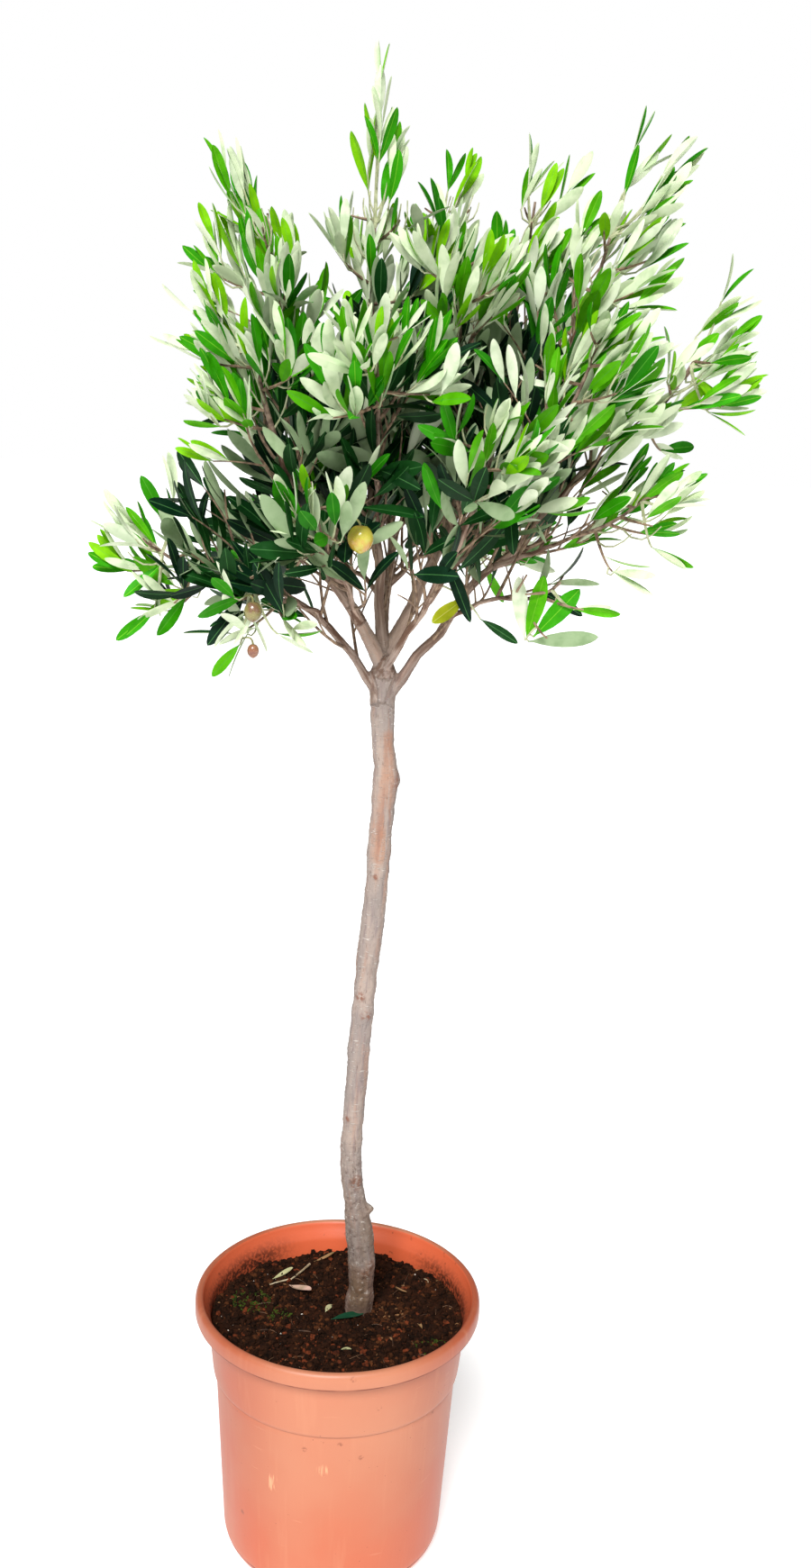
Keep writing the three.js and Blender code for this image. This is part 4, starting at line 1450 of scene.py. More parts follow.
@dataclass
class Pot:
    """The round nursery pot: a foot ring, a leaning wall with one step, and a band round its mouth."""

    height: float = 270.0
    rim: float = 140.0
    band: float = 17.0
    lip: float = 8.0
    step: float = 192.0
    collar: Span = (121.7, 128.0)  # radius at the step and under the band
    body: Span = (110.0, 119.0)  # radius where the wall starts and under the step
    body_from: float = 26.0
    foot: float = 97.0
    wall: float = 2.4
    floor: float = 3.0
    segments: int = 160
    drains: int = 6
    drain_ring: float = 68.0
    drain_radius: float = 6.0
    drill_length: float = 20.0

    def radius(self, z: float) -> float:
        """The outer radius at a height under the band."""
        if z >= self.step:
            share = (z - self.step) / (self.height - self.band - self.step)
            return mix(*self.collar, share)
        return mix(*self.body, (z - self.body_from) / (self.step - self.body_from))

    def profile(self) -> list[Span]:
        """The rings from the underside up the outside, over the lip and down inside to the floor."""
        under, mouth = self.height - self.band, self.rim - self.lip
        start, foot = self.body[0], self.foot
        rings = [(foot - 6, 0.0), (foot - 1, 0.0), (foot, 1.0), (foot, 4.0)]
        for turn in np.linspace(0, math.pi / 2, 9):
            level = mix(5.0, self.body_from, 1 - math.cos(turn))
            rings.append((mix(foot + 3, start, math.sin(turn)), level))
        rings += [(self.radius(z), z) for z in np.linspace(40, self.step - 9, 8)]
        rings += self.moulding(self.body[1], self.step, ((-0.2, -4), (-0.5, -2.2), (0.2, -1)))
        rings += self.moulding(self.collar[0], self.step, ((-1.1, -0.2), (-0.1, 1.2)))
        rings += [(self.radius(z), z) for z in np.linspace(self.step + 4, under - 4, 5)]
        rings += self.moulding(self.collar[1], under, ((-0.3, -1.5), (-0.4, -0.3), (1.4, 0)))
        rings += self.moulding(self.rim, under, ((-2.2, 0.2), (-0.7, 0.9), (-0.1, 2.6), (0, 8)))
        rings += self.moulding(self.rim, self.height, ((-0.2, -4.5), (-1.0, -2.2), (-2.6, -0.6), (-4.4, 0)))
        rings += self.moulding(mouth, self.height, ((1.8, -0.2), (0.5, -1.2), (-0.2, -3.2), (-2.4, -9.0)))
        rings += [(mouth - 5.6, under + 3.0), (self.radius(under) - self.wall - 0.6, under - 2.0)]
        rings += [(self.radius(z) - self.wall, z) for z in (235, 215, self.step + 2, self.step - 6, 120, 40)]
        return rings + [(start - self.wall - 3, 14.0), (foot - self.wall, self.floor)]

    @staticmethod
    def moulding(radius: float, height: float, offsets: Sequence[Span]) -> list[Span]:
        """Rings that stand off one radius and height by each of the offsets."""
        return [(radius + out, height + up) for out, up in offsets]

    def inner_share(self, shader: Shader, place: Sock) -> Sock:
        """The share of a point that is on the inner wall, over the soil."""
        under, mouth = self.height - self.band, self.rim - self.lip
        height, away = shader.axis(place, "Z"), shader.radius(place)
        slope = (self.collar[1] - self.collar[0]) / (under - self.step)
        skin = (height - self.step * MM) * slope + (self.collar[0] - self.wall / 2) * MM
        inward = shader.band(away - skin, 0.2 * MM, -0.2 * MM)
        lip = shader.band(away, (mouth + 1.2) * MM, (mouth + 0.2) * MM)
        top = shader.band(height, under * MM, (under + 0.4) * MM)
        above = shader.band(height, (self.step + 8) * MM, (self.step + 12) * MM)
        return shader.maths("MAXIMUM", inward * above, lip * top)

    def build(self) -> Piece:
        """Turns the pot, drills its drain holes and dresses it."""
        pot = turned("pot_shell", self.profile(), self.segments)
        rods = self.rods()
        drill = pot.modifiers.new("drill", "BOOLEAN")
        drill.operation, drill.solver, drill.object = "DIFFERENCE", "EXACT", rods
        finish_modifiers(pot)
        bpy.data.objects.remove(rods)
        shade(pot, 40)
        coat(pot, PotPlastic().material(self.inner_share))
        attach(pot, "root")
        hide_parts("pot")
        return pot

    def rods(self) -> Piece:
        """The rods that the drain holes are cut by, as one object."""
        made = []
        for i in range(self.drains):
            angle, reach = 2 * math.pi * (i + 0.5) / self.drains, self.drain_ring * MM
            bpy.ops.mesh.primitive_cylinder_add(
                vertices=24, radius=self.drain_radius * MM, depth=self.drill_length * MM,
                location=(reach * math.cos(angle), reach * math.sin(angle), 0.0),
            )
            made.append(bpy.context.object)
        return joined(*made[::-1])


@dataclass
class Clump:
    """A scatter of like crumbs: how many, their sizes, how flat they are, their finish and where they lie."""

    count: int
    size: Span
    flat: float
    finish: int
    centre: Span = (0.0, 0.0)
    spread: float = 0.0  # 0 means over all the soil


@dataclass
class Soil:
    """The soil in the pot, with crumbs, bark chips, moss and litter on it."""

    pot: Pot
    top: float = 242.0
    relief: float = 4.0
    level_patch: float = 26.0
    ring_pitch: float = 2.4
    segments: int = 150
    turn: float = 6.28  # a whole turn in radians, near enough for a crumb
    fibres: Clump = field(default_factory=lambda: Clump(46, (9, 26), 0.0, 5))  # its sizes are their lengths
    place_seed: int = 77
    form_seed: int = 5
    fibre_seed: int = 31

    def height(self, x: float, y: float) -> float:
        """The height of the soil's surface."""
        away = math.hypot(x - TRUNK[1][1], y - TRUNK[1][2])
        fade = float(smooth_step(away, self.level_patch, self.level_patch + 25))
        waves = math.sin(x / 23 + 1.1) * math.cos(y / 19) + 0.6 * math.sin((x + y) / 11 + 0.4)
        lumps = noise.fractal(Vector((x / 9, y / 9, 0.5)), 0.9, 2.1, 4)
        return self.top + self.relief / 1.6 * fade * (waves - y / 100) + 1.6 * lumps

    def edge(self) -> float:
        """The radius of the soil's surface."""
        return self.pot.radius(self.top - 6) - self.pot.wall - 0.4

    def build(self) -> list[Piece]:
        """Builds the body of soil and what lies on it."""
        made = [self.body(), self.crumbs(), self.litter()]
        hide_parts("soil")
        for piece in made:
            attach(piece, "root")
        return made

    def body(self) -> Piece:
        """The soil itself, lumpy on top."""
        edge, base = self.edge(), self.pot.floor + 0.3
        foot = self.pot.foot - self.pot.wall - 1.5
        rings = [(foot, base), (self.pot.body[0] - 7, 15.0), (self.pot.body[0] - 3, 40.0), (edge - 6, 180.0)]
        rings += [(edge - 3, self.top - 20), (edge, self.top)]
        rings += [(r, self.top) for r in np.arange(edge - self.ring_pitch, 2.0, -self.ring_pitch)]
        soil = turned("soil_bed", rings, self.segments)
        points = points_of(soil)
        surface = points[:, 2] > self.top - 1
        points[surface, 2] = [self.height(x, y) for x, y in points[surface, :2]]
        place_points(soil, points)
        shade(soil, 60)
        coat(soil, Earth("soil_damp", paint(54, 27, 13), paint(14, 7, 3)).material())
        return soil

    def crumbs(self) -> Piece:
        """Loose crumbs, chips, grit and moss, each a small faceted lump."""
        finishes = (
            Earth("crumb_dark", paint(46, 24, 12), paint(12, 6, 3)),
            Earth("crumb_brown", paint(84, 47, 24), paint(24, 12, 6)),
            Earth("crumb_red", paint(118, 56, 30), paint(44, 20, 11)),
            Earth("crumb_tan", paint(150, 110, 74), paint(80, 54, 34)),
            Earth("crumb_perlite", paint(226, 220, 208), paint(170, 160, 146)),
            Earth("moss_green", paint(66, 84, 26), paint(26, 38, 12)),
        )
        clumps = (
            Clump(3000, (1.2, 4.6), 0.8, 0), Clump(1100, (1.0, 3.6), 0.75, 1), Clump(260, (1.4, 4.6), 0.5, 2),
            Clump(120, (0.8, 2.8), 0.4, 3), Clump(60, (0.4, 1.1), 0.9, 4),
            Clump(1, (2.0, 2.1), 0.9, 4, (-54, -38), 1),
            Clump(260, (1.0, 3.2), 0.6, 1, (52, 4), 22), Clump(60, (1.0, 2.6), 0.5, 3, (52, 0), 18),
            Clump(240, (1.0, 3.2), 0.6, 1, (-46, 44), 34), Clump(90, (1.0, 3.0), 0.5, 2, (-30, -66), 34),
            Clump(330, (0.9, 2.0), 0.7, 5, (-88, 22), 20), Clump(140, (0.8, 1.8), 0.7, 5, (-58, 2), 13),
            Clump(170, (0.8, 1.8), 0.7, 5, (92, -52), 17),
        )
        corners, faces = self.lump()
        dice, rng = Dice(self.place_seed), np.random.default_rng(self.form_seed)
        solid = Solid()
        for clump in clumps:
            for _ in range(clump.count):
                x, y = self.spot(clump, dice)
                size = mix(*clump.size, dice.roll() ** 2)
                shape = np.array((1.0, mix(0.45, 0.9, dice.roll()), clump.flat)) * size
                heading = Matrix.Rotation(dice.roll() * self.turn, 3, "Z")
                pose = np.array(heading @ Matrix.Rotation(dice.between(-0.6, 0.6), 3, "X"))
                points = corners * rng.uniform(0.72, 1.2, (len(corners), 1)) * shape
                solid.add(points @ pose.T + (x, y, self.height(x, y) + 0.25 * size), faces, clump.finish)
        return solid.build("soil_crumbs", [finish.material() for finish in finishes], 25)

    @staticmethod
    def lump() -> tuple[Array, list[list[int]]]:
        """The corners and faces of a rough ball of twenty triangles."""
        bpy.ops.object.select_all(action="DESELECT")
        bpy.ops.mesh.primitive_ico_sphere_add(subdivisions=1, radius=MM)
        ball = bpy.context.object
        corners, faces = points_of(ball), [list(face.vertices) for face in ball.data.polygons]
        bpy.data.objects.remove(ball)
        return corners, faces

    def spot(self, clump: Clump, dice: Dice) -> Span:
        """A place on the soil for a crumb of that clump."""
        while True:
            reach = (clump.spread or self.edge() - 1.0) * math.sqrt(dice.roll())
            angle = dice.roll() * 2 * math.pi
            x, y = clump.centre[0] + reach * math.cos(angle), clump.centre[1] + reach * math.sin(angle)
            if math.hypot(x, y) < self.edge() - 1.0:
                return x, y

    def litter(self) -> Piece:
        """Dry leaves, bits of twig and fibres, and one green leaf that has dropped."""
        finishes = (
            LeafSkin("litter_pink", paint(200, 166, 146), 0.75),
            LeafSkin("litter_tan", paint(150, 116, 80), 0.8),
            LeafSkin("litter_green", paint(18, 62, 40), 0.5),
            LeafSkin("litter_cream", paint(186, 180, 138), 0.7),
            TwigSkin("litter_twig", paint(196, 180, 148), paint(150, 132, 100)),
            TwigSkin("litter_root", paint(112, 82, 58), paint(66, 46, 34)),
        )
        solid = Solid()
        self.drop_leaves(solid)
        self.drop_sticks(solid)
        self.strew_fibres(solid)
        return solid.build("soil_litter", [finish.material() for finish in finishes], 50)

    def on_top(self, x: float, y: float, rise: float) -> Array:
        """The point that far over the soil's surface."""
        return np.array((x, y, self.height(x, y) + rise))

    def drop_leaves(self, solid: Solid) -> None:
        """Adds the fallen leaves."""
        fallen = (  # x, y, bearing, length, width, curl, fold, finish
            (-52, 48, -46, 36, 12, -0.35, 22, 0), (-70, 58, 24, 24, 8, -0.5, 24, 3),
            (-6, -12, 20, 34, 10, 0.2, 8, 2), (-12, 0, 70, 15, 6, 0.3, 12, 3),
            (70, 44, 200, 17, 5, -0.8, 30, 1), (6, -62, 15, 11, 4, 0.4, 20, 3),
            (-30, 98, 10, 24, 6, -0.6, 26, 1), (84, -20, 110, 13, 4, 0.5, 24, 1),
        )
        for x, y, bearing, length, width, curl, fold, finish in fallen:
            angle = math.radians(bearing)
            along = unit(np.array((math.cos(angle), math.sin(angle), 0.12)))
            face = unit(UP - along * along[2])
            leaf = Leaf(self.on_top(x, y, 2.2), along, face, length, width, curl, math.radians(fold), 0)
            Blade().add(solid, leaf, (finish, finish, finish))

    def drop_sticks(self, solid: Solid) -> None:
        """Adds the bits of twig."""
        sticks = ((-34, 92, -50, 56, 1.3), (-50, 56, -72, 48, 0.9), (86, 66, 90, 56, 0.6))
        for x0, y0, x1, y1, thick in sticks:
            ends = [self.on_top(x, y, thick + 0.8) for x, y in ((x0, y0), (x1, y1))]
            middle = (ends[0] + ends[1]) / 2 + (3.0, -2.0, 3.5)
            course = Course(bezier((ends[0], middle, ends[1]), 12))
            points, faces = tube(course, lambda share, radius=thick: radius * (1 - 0.4 * share), 9, 6)
            solid.add(points, faces, 4)

    def strew_fibres(self, solid: Solid) -> None:
        """Adds the root fibres, but none that would reach over the soil's edge."""
        dice = Dice(self.fibre_seed)
        for _ in range(self.fibres.count):
            x, y = self.spot(self.fibres, dice)
            angle, length = dice.roll() * self.turn, dice.between(*self.fibres.size)
            end = (x + length * math.cos(angle), y + length * math.sin(angle))
            if math.hypot(*end) > self.edge() - 2:
                continue
            start, stop = self.on_top(x, y, 0.8), self.on_top(*end, 0.8)
            bend = (start + stop) / 2 + (dice.between(-5, 5), dice.between(-5, 5), 3.0)
            points, faces = tube(Course(bezier((start, bend, stop), 10)), lambda share: 0.3, 7, 4)
            solid.add(points, faces, self.fibres.finish)


# ---- Wood ----


@dataclass
class Wood:
    """The trunk and the boughs as one skin of bark."""

    growth: Growth
    voxel: float = 1.32
    from_height: float = 232.0
    scars: tuple[Knot, ...] = (
        Knot(355, -8, 5.5, 6.5), Knot(387, -60, 11.0, 0.8), Knot(562, -70, 7.0, 0.9), Knot(581, -110, 7, 1.0),
        Knot(288, -72, 6.5, 1.0), Knot(270, -100, 6.0, 0.8), Knot(298, -52, 7.5, 1.2), Knot(790, -6, 13, 2.6),
        Knot(700, -95, 4.5, 0.8), Knot(455, -120, 4.5, 0.8),
    )
    grown_over: tuple[Knot, ...] = (
        Knot(640, 60, 6, 1.2), Knot(500, 130, 5, 1.0), Knot(420, 170, 6, 1.2), Knot(745, 150, 6, 1.3),
    )
    grain_apart: float = 1731.0  # between one limb's grain and the next one's, so that none is alike

    def build(self) -> Piece:
        """Draws the limbs, melts them into one skin, and gives it its relief and bark."""
        wood = self.skin()
        self.dress(wood)
        coat(wood, Bark().material([(self.spot(knot), knot.reach) for knot in self.scars]))
        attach(wood, "root")
        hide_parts("trunk", *("bough_" + row.name for row in BOUGHS))
        return wood

    def skin(self) -> Piece:
        """The limbs as round rods on one curve object, remeshed into one closed skin."""
        curve = bpy.data.curves.new("limbs", "CURVE")
        curve.dimensions, curve.bevel_depth, curve.bevel_resolution, curve.use_fill_caps = "3D", 1.0, 4, True
        for limb in self.growth.limbs.values():
            rows = [row for row in zip(limb.course.points, limb.girths()) if row[0][2] > self.from_height]
            spline = curve.splines.new("POLY")
            spline.points.add(len(rows) - 1)
            for point, (place, radius) in zip(spline.points, rows):
                point.co = (*(place * MM), 1.0)
                point.radius = radius * MM
        wood = bpy.data.objects.new("wood", curve)
        bpy.context.collection.objects.link(wood)
        select_only(wood)
        bpy.ops.object.convert(target="MESH")
        wood = bpy.context.object
        melt = wood.modifiers.new("melt", "REMESH")
        melt.mode, melt.voxel_size, melt.adaptivity = "VOXEL", self.voxel * MM, 0.0
        ease = wood.modifiers.new("ease", "SMOOTH")
        ease.factor, ease.iterations = 0.5, 4
        finish_modifiers(wood)
        return wood

    def spot(self, knot: Knot) -> Row3:
        """The middle of a knot, on the trunk's surface."""
        trunk = self.growth.limbs["trunk"]
        i = int(np.argmin(np.abs(trunk.course.points[:, 2] - knot.height)))
        radius, angle = trunk.radius(i / (len(trunk.course.points) - 1)), math.radians(knot.bearing)
        x, y, _ = trunk.course.points[i]
        return (x + radius * math.cos(angle), y + radius * math.sin(angle), knot.height)

    def dress(self, wood: Piece) -> None:
        """Moves the skin out and in along its normals for ridges and knots, and notes its grain."""
        limbs = list(self.growth.limbs.values())
        courses = [limb.course for limb in limbs]
        tangent, first, second = (np.concatenate(part) for part in zip(*(c.frames() for c in courses)))
        place = np.concatenate([course.points for course in courses])
        run = np.concatenate([course.reach + self.grain_apart * i for i, course in enumerate(courses)])
        points = points_of(wood)
        nearest = np.array([self.growth.wood.find(point)[1] for point in points])
        girth = np.array(self.growth.girths)[nearest]
        offset = points - place[nearest]
        grain = np.stack([(offset * part[nearest]).sum(axis=1) for part in (first, second, tangent)], axis=1)
        grain[:, 2] += run[nearest]
        normals = np.zeros(3 * len(points))
        wood.data.vertices.foreach_get("normal", normals)
        stout = np.clip((girth - 2.0) / 9.0, 0, 1)
        ridges = self.rough(grain * (0.16, 0.16, 0.022))
        joints = self.rough(grain * (0.02, 0.02, 0.075) + 7.0)
        ripples = self.rough(grain * (0.3, 0.3, 0.35) + 40.0)
        lift = stout * (1.1 * ridges + 0.45 * ripples) + 0.12 * ripples + 0.11 * girth * joints
        for knot in self.scars + self.grown_over:
            near = np.linalg.norm(points - np.array(self.spot(knot)), axis=1) / knot.reach
            lift += knot.proud * np.exp(-1.6 * near**2)
        place_points(wood, points + normals.reshape(-1, 3) * lift[:, None])
        attributes = wood.data.attributes
        attributes.new("grain", "FLOAT_VECTOR", "POINT").data.foreach_set("vector", (grain * MM).ravel())
        attributes.new("girth", "FLOAT", "POINT").data.foreach_set("value", girth * MM)
        select_only(wood)
        bpy.ops.object.shade_smooth()

    @staticmethod
    def rough(points: Array) -> Array:
        """The noise at each point, from -1 to 1."""
        return np.array([noise.noise(Vector(point)) for point in points])


# ---- Twigs, leaves and fruit ----


TWIG_FORMS = {  # the rings along a twig, its sides and its finish
    Rank.STEM: (12, 7, 0),
    Rank.SIDE: (9, 5, 1),
    Rank.LEADER: (12, 5, 2),
    Rank.SPRIG: (5, 5, 2),
    Rank.INNER: (6, 5, 1),
    Rank.SPUR: (6, 5, 1),
}


@dataclass
class Twigs:
    """Every shoot in the masses, as thin tapering tubes."""

    growth: Growth
    finishes: tuple[TwigSkin, ...] = (
        TwigSkin("twig_stem", paint(152, 130, 112), paint(98, 78, 66)),
        TwigSkin("twig_brown", paint(158, 132, 108), paint(104, 82, 66)),
        TwigSkin("twig_pale", paint(196, 198, 162), paint(160, 166, 124)),
    )

    def build(self) -> Piece:
        """Builds and dresses the twigs."""
        solid = Solid()
        for shoot in self.growth.shoots:
            rings, sides, finish = TWIG_FORMS[shoot.rank]
            points, faces = tube(shoot.course, lambda t, s=shoot: mix(s.base, s.tip, t), rings, sides)
            solid.add(points, faces, finish)
        twigs = solid.build("twigs", [finish.material() for finish in self.finishes], 70)
        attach(twigs, "root")
        return twigs


@dataclass
class Blade:
    """The form of a leaf: how wide it is along its length, and its narrow raised rib."""

    stations: tuple[float, ...] = (0.0, 0.07, 0.18, 0.32, 0.48, 0.64, 0.78, 0.89, 0.96)
    widths: tuple[float, ...] = (0.09, 0.13, 0.46, 0.76, 0.95, 1.0, 0.88, 0.62, 0.34)
    rib: float = 0.28
    rib_rise: float = 0.12
    thick: float = 0.5

    def add(self, solid: Solid, leaf: Leaf, finishes: tuple[int, int, int]) -> None:
        """Adds a leaf to a solid.

        Args:
            solid: what the leaf is gathered in.
            leaf: where it grows and how it is formed.
            finishes: the numbers of its upper side's, rib's and underside's finishes.
        """
        side = np.cross(leaf.face, leaf.along)
        rows = []
        for x, w in zip(self.stations, self.widths):
            half = w * leaf.width / 2
            rib = min(self.rib, 0.6 * half)
            out, up = half * math.cos(leaf.fold), half * math.sin(leaf.fold)
            section = ((-out, up), (-rib, self.rib_rise), (rib, self.rib_rise), (out, up), (0.0, -self.thick))
            rows += [(x, y, z) for y, z in section]
        rows.append((1.0, 0.0, 0.0))
        x, y, z = np.array(rows).T
        bend = leaf.curl if abs(leaf.curl) > 0.02 else 0.02
        run = np.sin(bend * x) / bend * leaf.length
        drop = (1 - np.cos(bend * x)) / bend * leaf.length
        points = leaf.root + np.outer(run, leaf.along) + np.outer(y, side) + np.outer(z - drop, leaf.face)
        upper, rib, under = finishes
        faces, kinds = self.faces()
        solid.add(points, faces, [(upper, rib, under)[kind] for kind in kinds])

    def faces(self) -> tuple[list[list[int]], list[int]]:
        """The faces of a leaf, and for each 0 on its upper side, 1 on its rib and 2 underneath."""
        faces, kinds, last = [], [], len(self.stations) - 1
        tip = 5 * len(self.stations)
        for i in range(last + 1):
            a, b = 5 * i, 5 * (i + 1)
            for j, kind in ((0, 0), (1, 1), (2, 0)):
                faces.append([a + j, b + j, b + j + 1, a + j + 1] if i < last else [a + j, tip, a + j + 1])
                kinds.append(kind)
            faces.append([a, a + 4, b + 4, b] if i < last else [a, a + 4, tip])
            faces.append([a + 4, a + 3, b + 3, b + 4] if i < last else [a + 4, a + 3, tip])
            kinds += [2, 2]
        return [[0, 1, 2, 3, 4], *faces], [2, *kinds]


@dataclass(frozen=True)
class Foliage:
    """The colours of one age of leaf: upper sides, undersides and rib."""

    age: Age
    upper: tuple[Colour, ...]
    under: tuple[Colour, ...]
    rib: Colour
    gloss: float

    def skins(self) -> list[LeafSkin]:
        """The finishes in order: upper sides, undersides, rib."""
        name = "leaf_" + self.age.value
        tops = [LeafSkin(f"{name}_top_{i}", colour, self.gloss) for i, colour in enumerate(self.upper)]
        backs = [LeafSkin(f"{name}_back_{i}", colour, 0.7, 0.05) for i, colour in enumerate(self.under)]
        return [*tops, *backs, LeafSkin(name + "_rib", self.rib, 0.5, 0.1)]


# Leaf colours by age. In the crown the ages follow the light, so these colours are partly painted light and
# shade.
FOLIAGE = (
    Foliage(
        Age.FRESH,
        (paint(80, 170, 0), paint(122, 194, 0), paint(50, 150, 0)),
        (paint(218, 230, 194), paint(208, 223, 182), paint(224, 233, 204)),
        paint(112, 184, 40), 0.5,
    ),
    Foliage(
        Age.GREEN,
        (paint(44, 136, 0), paint(76, 158, 0), paint(30, 116, 0)),
        (paint(216, 228, 192), paint(224, 234, 204)),
        paint(76, 150, 40), 0.46,
    ),
    # old leaves: dark tops and dimmer undersides, partly painted shade inside the crown
    Foliage(
        Age.OLD,
        (paint(9, 47, 15), paint(16, 64, 19), paint(8, 40, 22)),
        (paint(156, 176, 136), paint(142, 164, 124)),
        paint(66, 116, 62), 0.4,
    ),
    Foliage(Age.TURNING, (paint(168, 176, 26),), (paint(200, 206, 120),), paint(206, 206, 96), 0.5),
)


@dataclass
class Leaves:
    """The leaves, joined into one piece for each age."""

    growth: Growth
    blade: Blade = field(default_factory=Blade)

    def build(self) -> list[Piece]:
        """Builds and dresses the leaves."""
        return [self.piece(foliage) for foliage in FOLIAGE]

    def piece(self, foliage: Foliage) -> Piece:
        """All leaves of one age, with their colours dealt out by spray."""
        solid = Solid()
        tops, backs = len(foliage.upper), len(foliage.under)
        for leaf in self.growth.leaves[foliage.age]:
            top = (leaf.spray * 7 + leaf.spray // 3) % tops
            back = tops + (leaf.spray * 5 + leaf.spray // 4) % backs
            self.blade.add(solid, leaf, (top, tops + backs, back))
        made = solid.build("leaves_" + foliage.age.value, [skin.material() for skin in foliage.skins()])
        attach(made, "root")
        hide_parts(*("foliage_" + row.name for row in BOUGHS))
        return made


@dataclass
class Fruit:
    """The few olives, on their stalks."""

    growth: Growth
    dimpled_from: float = 0.9  # the share of its half length over which an olive sinks to its stalk
    pointed_from: float = 0.92  # and beyond which it draws out below
    stalk_radius: float = 0.75

    def build(self) -> Piece:
        """Shapes the olives, hangs each from the nearest twig and joins them."""
        green = TwigSkin("olive_stalk", paint(150, 152, 96), paint(120, 116, 70)).material()
        fruit = joined(*(self.shape(olive, green) for olive in OLIVES))
        fruit.name = "olives"
        shade(fruit, 50)
        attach(fruit, "root")
        return fruit

    def shape(self, olive: Olive, green: Material) -> Piece:
        """One olive: a ball drawn long, dimpled round its stalk and a little pointed below.

        Args:
            olive: its place, size and skin.
            green: the finish of its stalk.

        Returns:
            The olive and its stalk as one object.
        """
        bpy.ops.object.select_all(action="DESELECT")
        bpy.ops.mesh.primitive_uv_sphere_add(segments=28, ring_count=18, radius=olive.width / 2 * MM)
        piece = bpy.context.object
        bpy.ops.object.mode_set(mode="EDIT")
        bpy.ops.mesh.select_all(action="SELECT")
        bpy.ops.transform.resize(value=(1, 1, olive.long))
        bpy.ops.transform.translate(value=Vector(olive.centre) * MM)
        bpy.ops.object.mode_set(mode="OBJECT")
        points = points_of(piece)
        height = (points[:, 2] - olive.centre[2]) / (olive.width * olive.long / 2)
        points[:, 2] -= np.maximum(height - self.dimpled_from, 0) * olive.width * 0.5
        points[:, 2] -= np.maximum(-height - self.pointed_from, 0) * olive.width * 0.5
        place_points(piece, points)
        piece.data.materials.append(olive.skin.material())
        return joined(piece, self.stalk(olive, green))

    def stalk(self, olive: Olive, green: Material) -> Piece:
        """The stalk from an olive's top to the nearest twig."""
        top = np.array(olive.centre) + UP * olive.width * olive.long * 0.44
        points = np.concatenate([s.course.points for s in self.growth.shoots])
        above = points[points[:, 2] > top[2] + 4]
        anchor = above[np.argmin(np.linalg.norm(above - top, axis=1))]
        course = Course(bezier((top - UP * 1.5, top + UP * 9, anchor), 14))
        corners, faces = tube(course, lambda share: self.stalk_radius + 0.5 * (1 - share) ** 6, 10, 7)
        solid = Solid()
        solid.add(corners, faces, 0)
        return solid.build("stalk", [green])


# ---- Studio ----


@dataclass(frozen=True)
class Panel:
    """A square lamp: its name, its place, its side and its power in watts."""

    name: str
    place: Row3
    side: float
    power: float


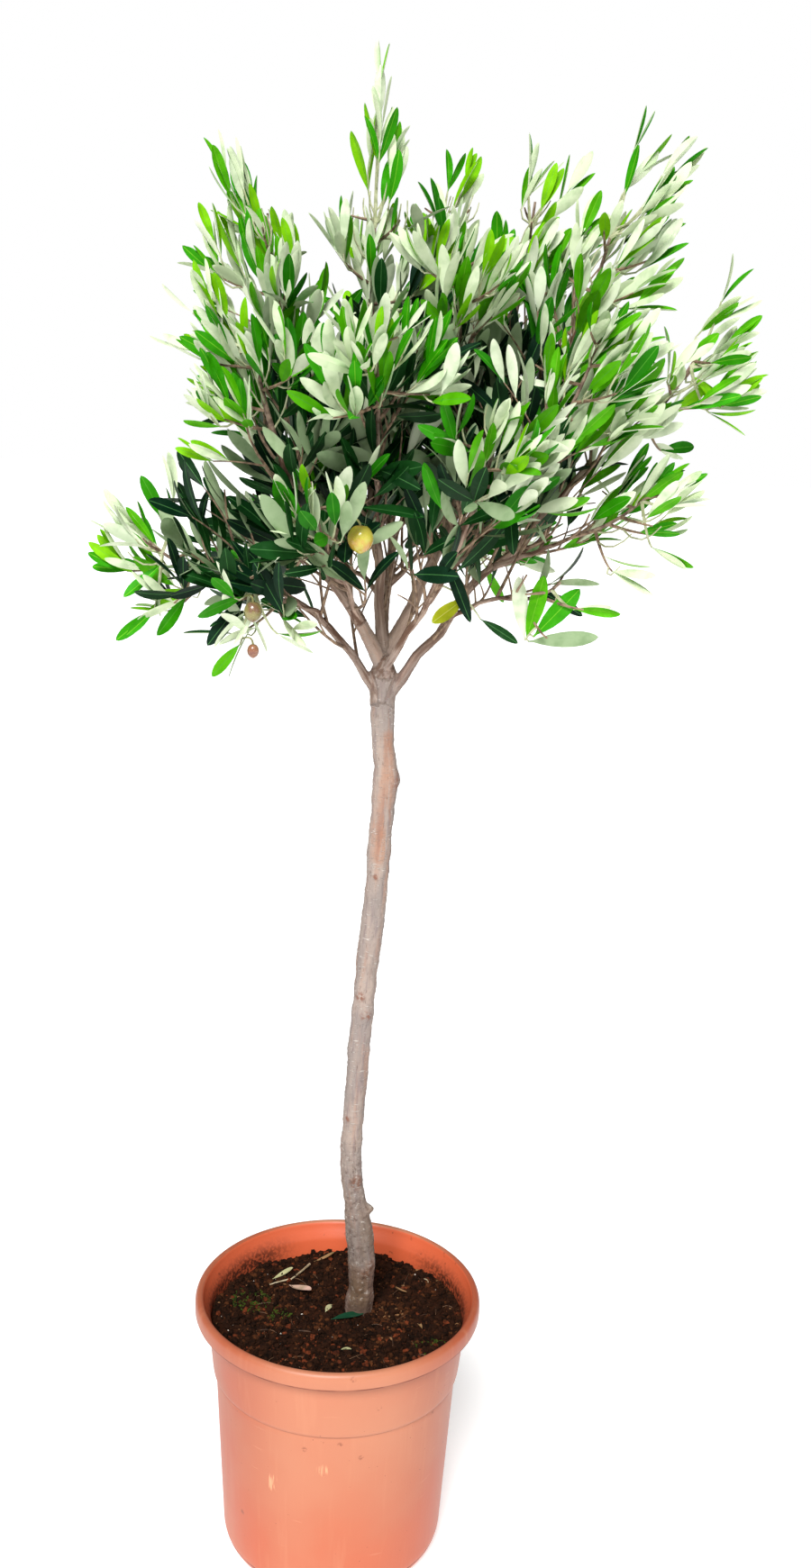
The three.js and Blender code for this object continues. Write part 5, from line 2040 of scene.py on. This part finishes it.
@dataclass
class Studio:
    """A pale floor, soft light from the front and above, and the camera."""

    camera_place: Row3 = (47.6, -1354.0, 1112.8)
    pitch: float = 13.54
    roll: float = 2.16
    focal: float = 1700.0  # in pixels of the frame's long side
    long_side: float = 1741.0
    sensor: float = 36.0
    ambient: float = 0.19
    daylight: float = 3.95
    daylight_width: float = 24.0  # the sun's angle, in degrees
    daylight_line: tuple[Row3, Row3] = ((-0.4, -2.2, 2.8), (0, 0, 0.6))  # in metres, as the panels' are
    panels: tuple[Panel, ...] = (
        Panel("key", (-1.3, -2.3, 2.8), 1.5, 7.0), Panel("fill", (2.3, -1.8, 1.7), 1.8, 8.0),
    )
    panel_target: Row3 = (0.03, 0, 1.0)
    floor_radius: float = 30.0
    floor_drop: float = 0.0002

    def build(self) -> None:
        """Builds the studio."""
        self.floor()
        self.light()
        self.camera()

    def floor(self) -> None:
        """The floor, a wide disc just under the pot."""
        bpy.ops.object.select_all(action="DESELECT")
        bpy.ops.mesh.primitive_circle_add(
            vertices=96, radius=self.floor_radius, fill_type="NGON", location=(0, 0, -self.floor_drop)
        )
        floor = bpy.context.object
        floor.name = "studio_floor"
        floor.data.materials.append(Ground().material())
        floor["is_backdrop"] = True

    def light(self) -> None:
        """A soft surround, white behind the plant, a wide sun and two soft panels."""
        world = bpy.data.worlds.new("studio_air")
        world.use_nodes = True
        tree = world.node_tree
        glow = tree.nodes["Background"]
        glow.inputs["Strength"].default_value = self.ambient
        white = tree.nodes.new("ShaderNodeBackground")
        for node in (glow, white):
            node.inputs["Color"].default_value = (1.0, 1.0, 1.0, 1.0)
        seen, choice = tree.nodes.new("ShaderNodeLightPath"), tree.nodes.new("ShaderNodeMixShader")
        tree.links.new(seen.outputs["Is Camera Ray"], choice.inputs[0])
        tree.links.new(glow.outputs[0], choice.inputs[1])
        tree.links.new(white.outputs[0], choice.inputs[2])
        tree.links.new(choice.outputs[0], tree.nodes["World Output"].inputs["Surface"])
        bpy.context.scene.world = world
        bpy.context.scene.view_settings.view_transform = "Standard"
        for panel in self.panels:
            lamp = bpy.data.lights.new(panel.name, "AREA")
            lamp.size, lamp.energy = panel.side, panel.power
            self.aim(lamp, panel.place, self.panel_target)
        sun = bpy.data.lights.new("daylight", "SUN")
        sun.energy, sun.angle = self.daylight, math.radians(self.daylight_width)
        self.aim(sun, *self.daylight_line)

    @staticmethod
    def aim(lamp: bpy.types.Light, place: Row3, target: Row3) -> None:
        """Hangs a lamp at a place, turned to a target."""
        held = bpy.data.objects.new(lamp.name, lamp)
        turn = (Vector(target) - Vector(place)).to_track_quat("-Z", "Y").to_matrix().to_4x4()
        held.matrix_world = Matrix.Translation(Vector(place)) @ turn
        bpy.context.collection.objects.link(held)

    def camera(self) -> None:
        """The camera, which looks down a little and leans by two degrees."""
        pitch, roll = math.radians(self.pitch), math.radians(self.roll)
        forward = Vector((0, math.cos(pitch), -math.sin(pitch)))
        right = Vector((1, 0, 0))
        up = right.cross(forward)
        across, above = turned_to(right, up, roll), turned_to(up, -right, roll)
        data = bpy.data.cameras.new("camera")
        data.lens = self.focal / self.long_side * self.sensor
        data.sensor_width = self.sensor
        camera = bpy.data.objects.new("camera", data)
        turn = Matrix((across, above, -forward)).transposed().to_4x4()
        camera.matrix_world = Matrix.Translation(Vector(self.camera_place) * MM) @ turn
        bpy.context.collection.objects.link(camera)
        bpy.context.scene.camera = camera


def report(*pieces: Piece) -> None:
    """Logs each piece and its number of triangles."""
    for piece in pieces:
        triangles = sum(len(face.vertices) - 2 for face in piece.data.polygons)
        LOG.info("%s: %d triangles", piece.name, triangles)


def main() -> None:
    """Builds the tree, the pot, the soil and the studio."""
    logging.basicConfig(level=logging.INFO, format="%(name)s %(message)s")
    growth = Growth()
    growth.grow()
    LOG.info("%d shoots, %s leaves", len(growth.shoots), {a.value: len(l) for a, l in growth.leaves.items()})
    pot = Pot()
    report(pot.build())
    report(*Soil(pot).build())
    report(Wood(growth).build())
    report(Twigs(growth).build())
    report(*Leaves(growth).build())
    report(Fruit(growth).build())
    Studio().build()
    boxes = {"cad": CAD_BOX, "visual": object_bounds()}
    json.dumps({name: [list(corner) for corner in box] for name, box in boxes.items()})


if __name__ == "__main__":
    main()
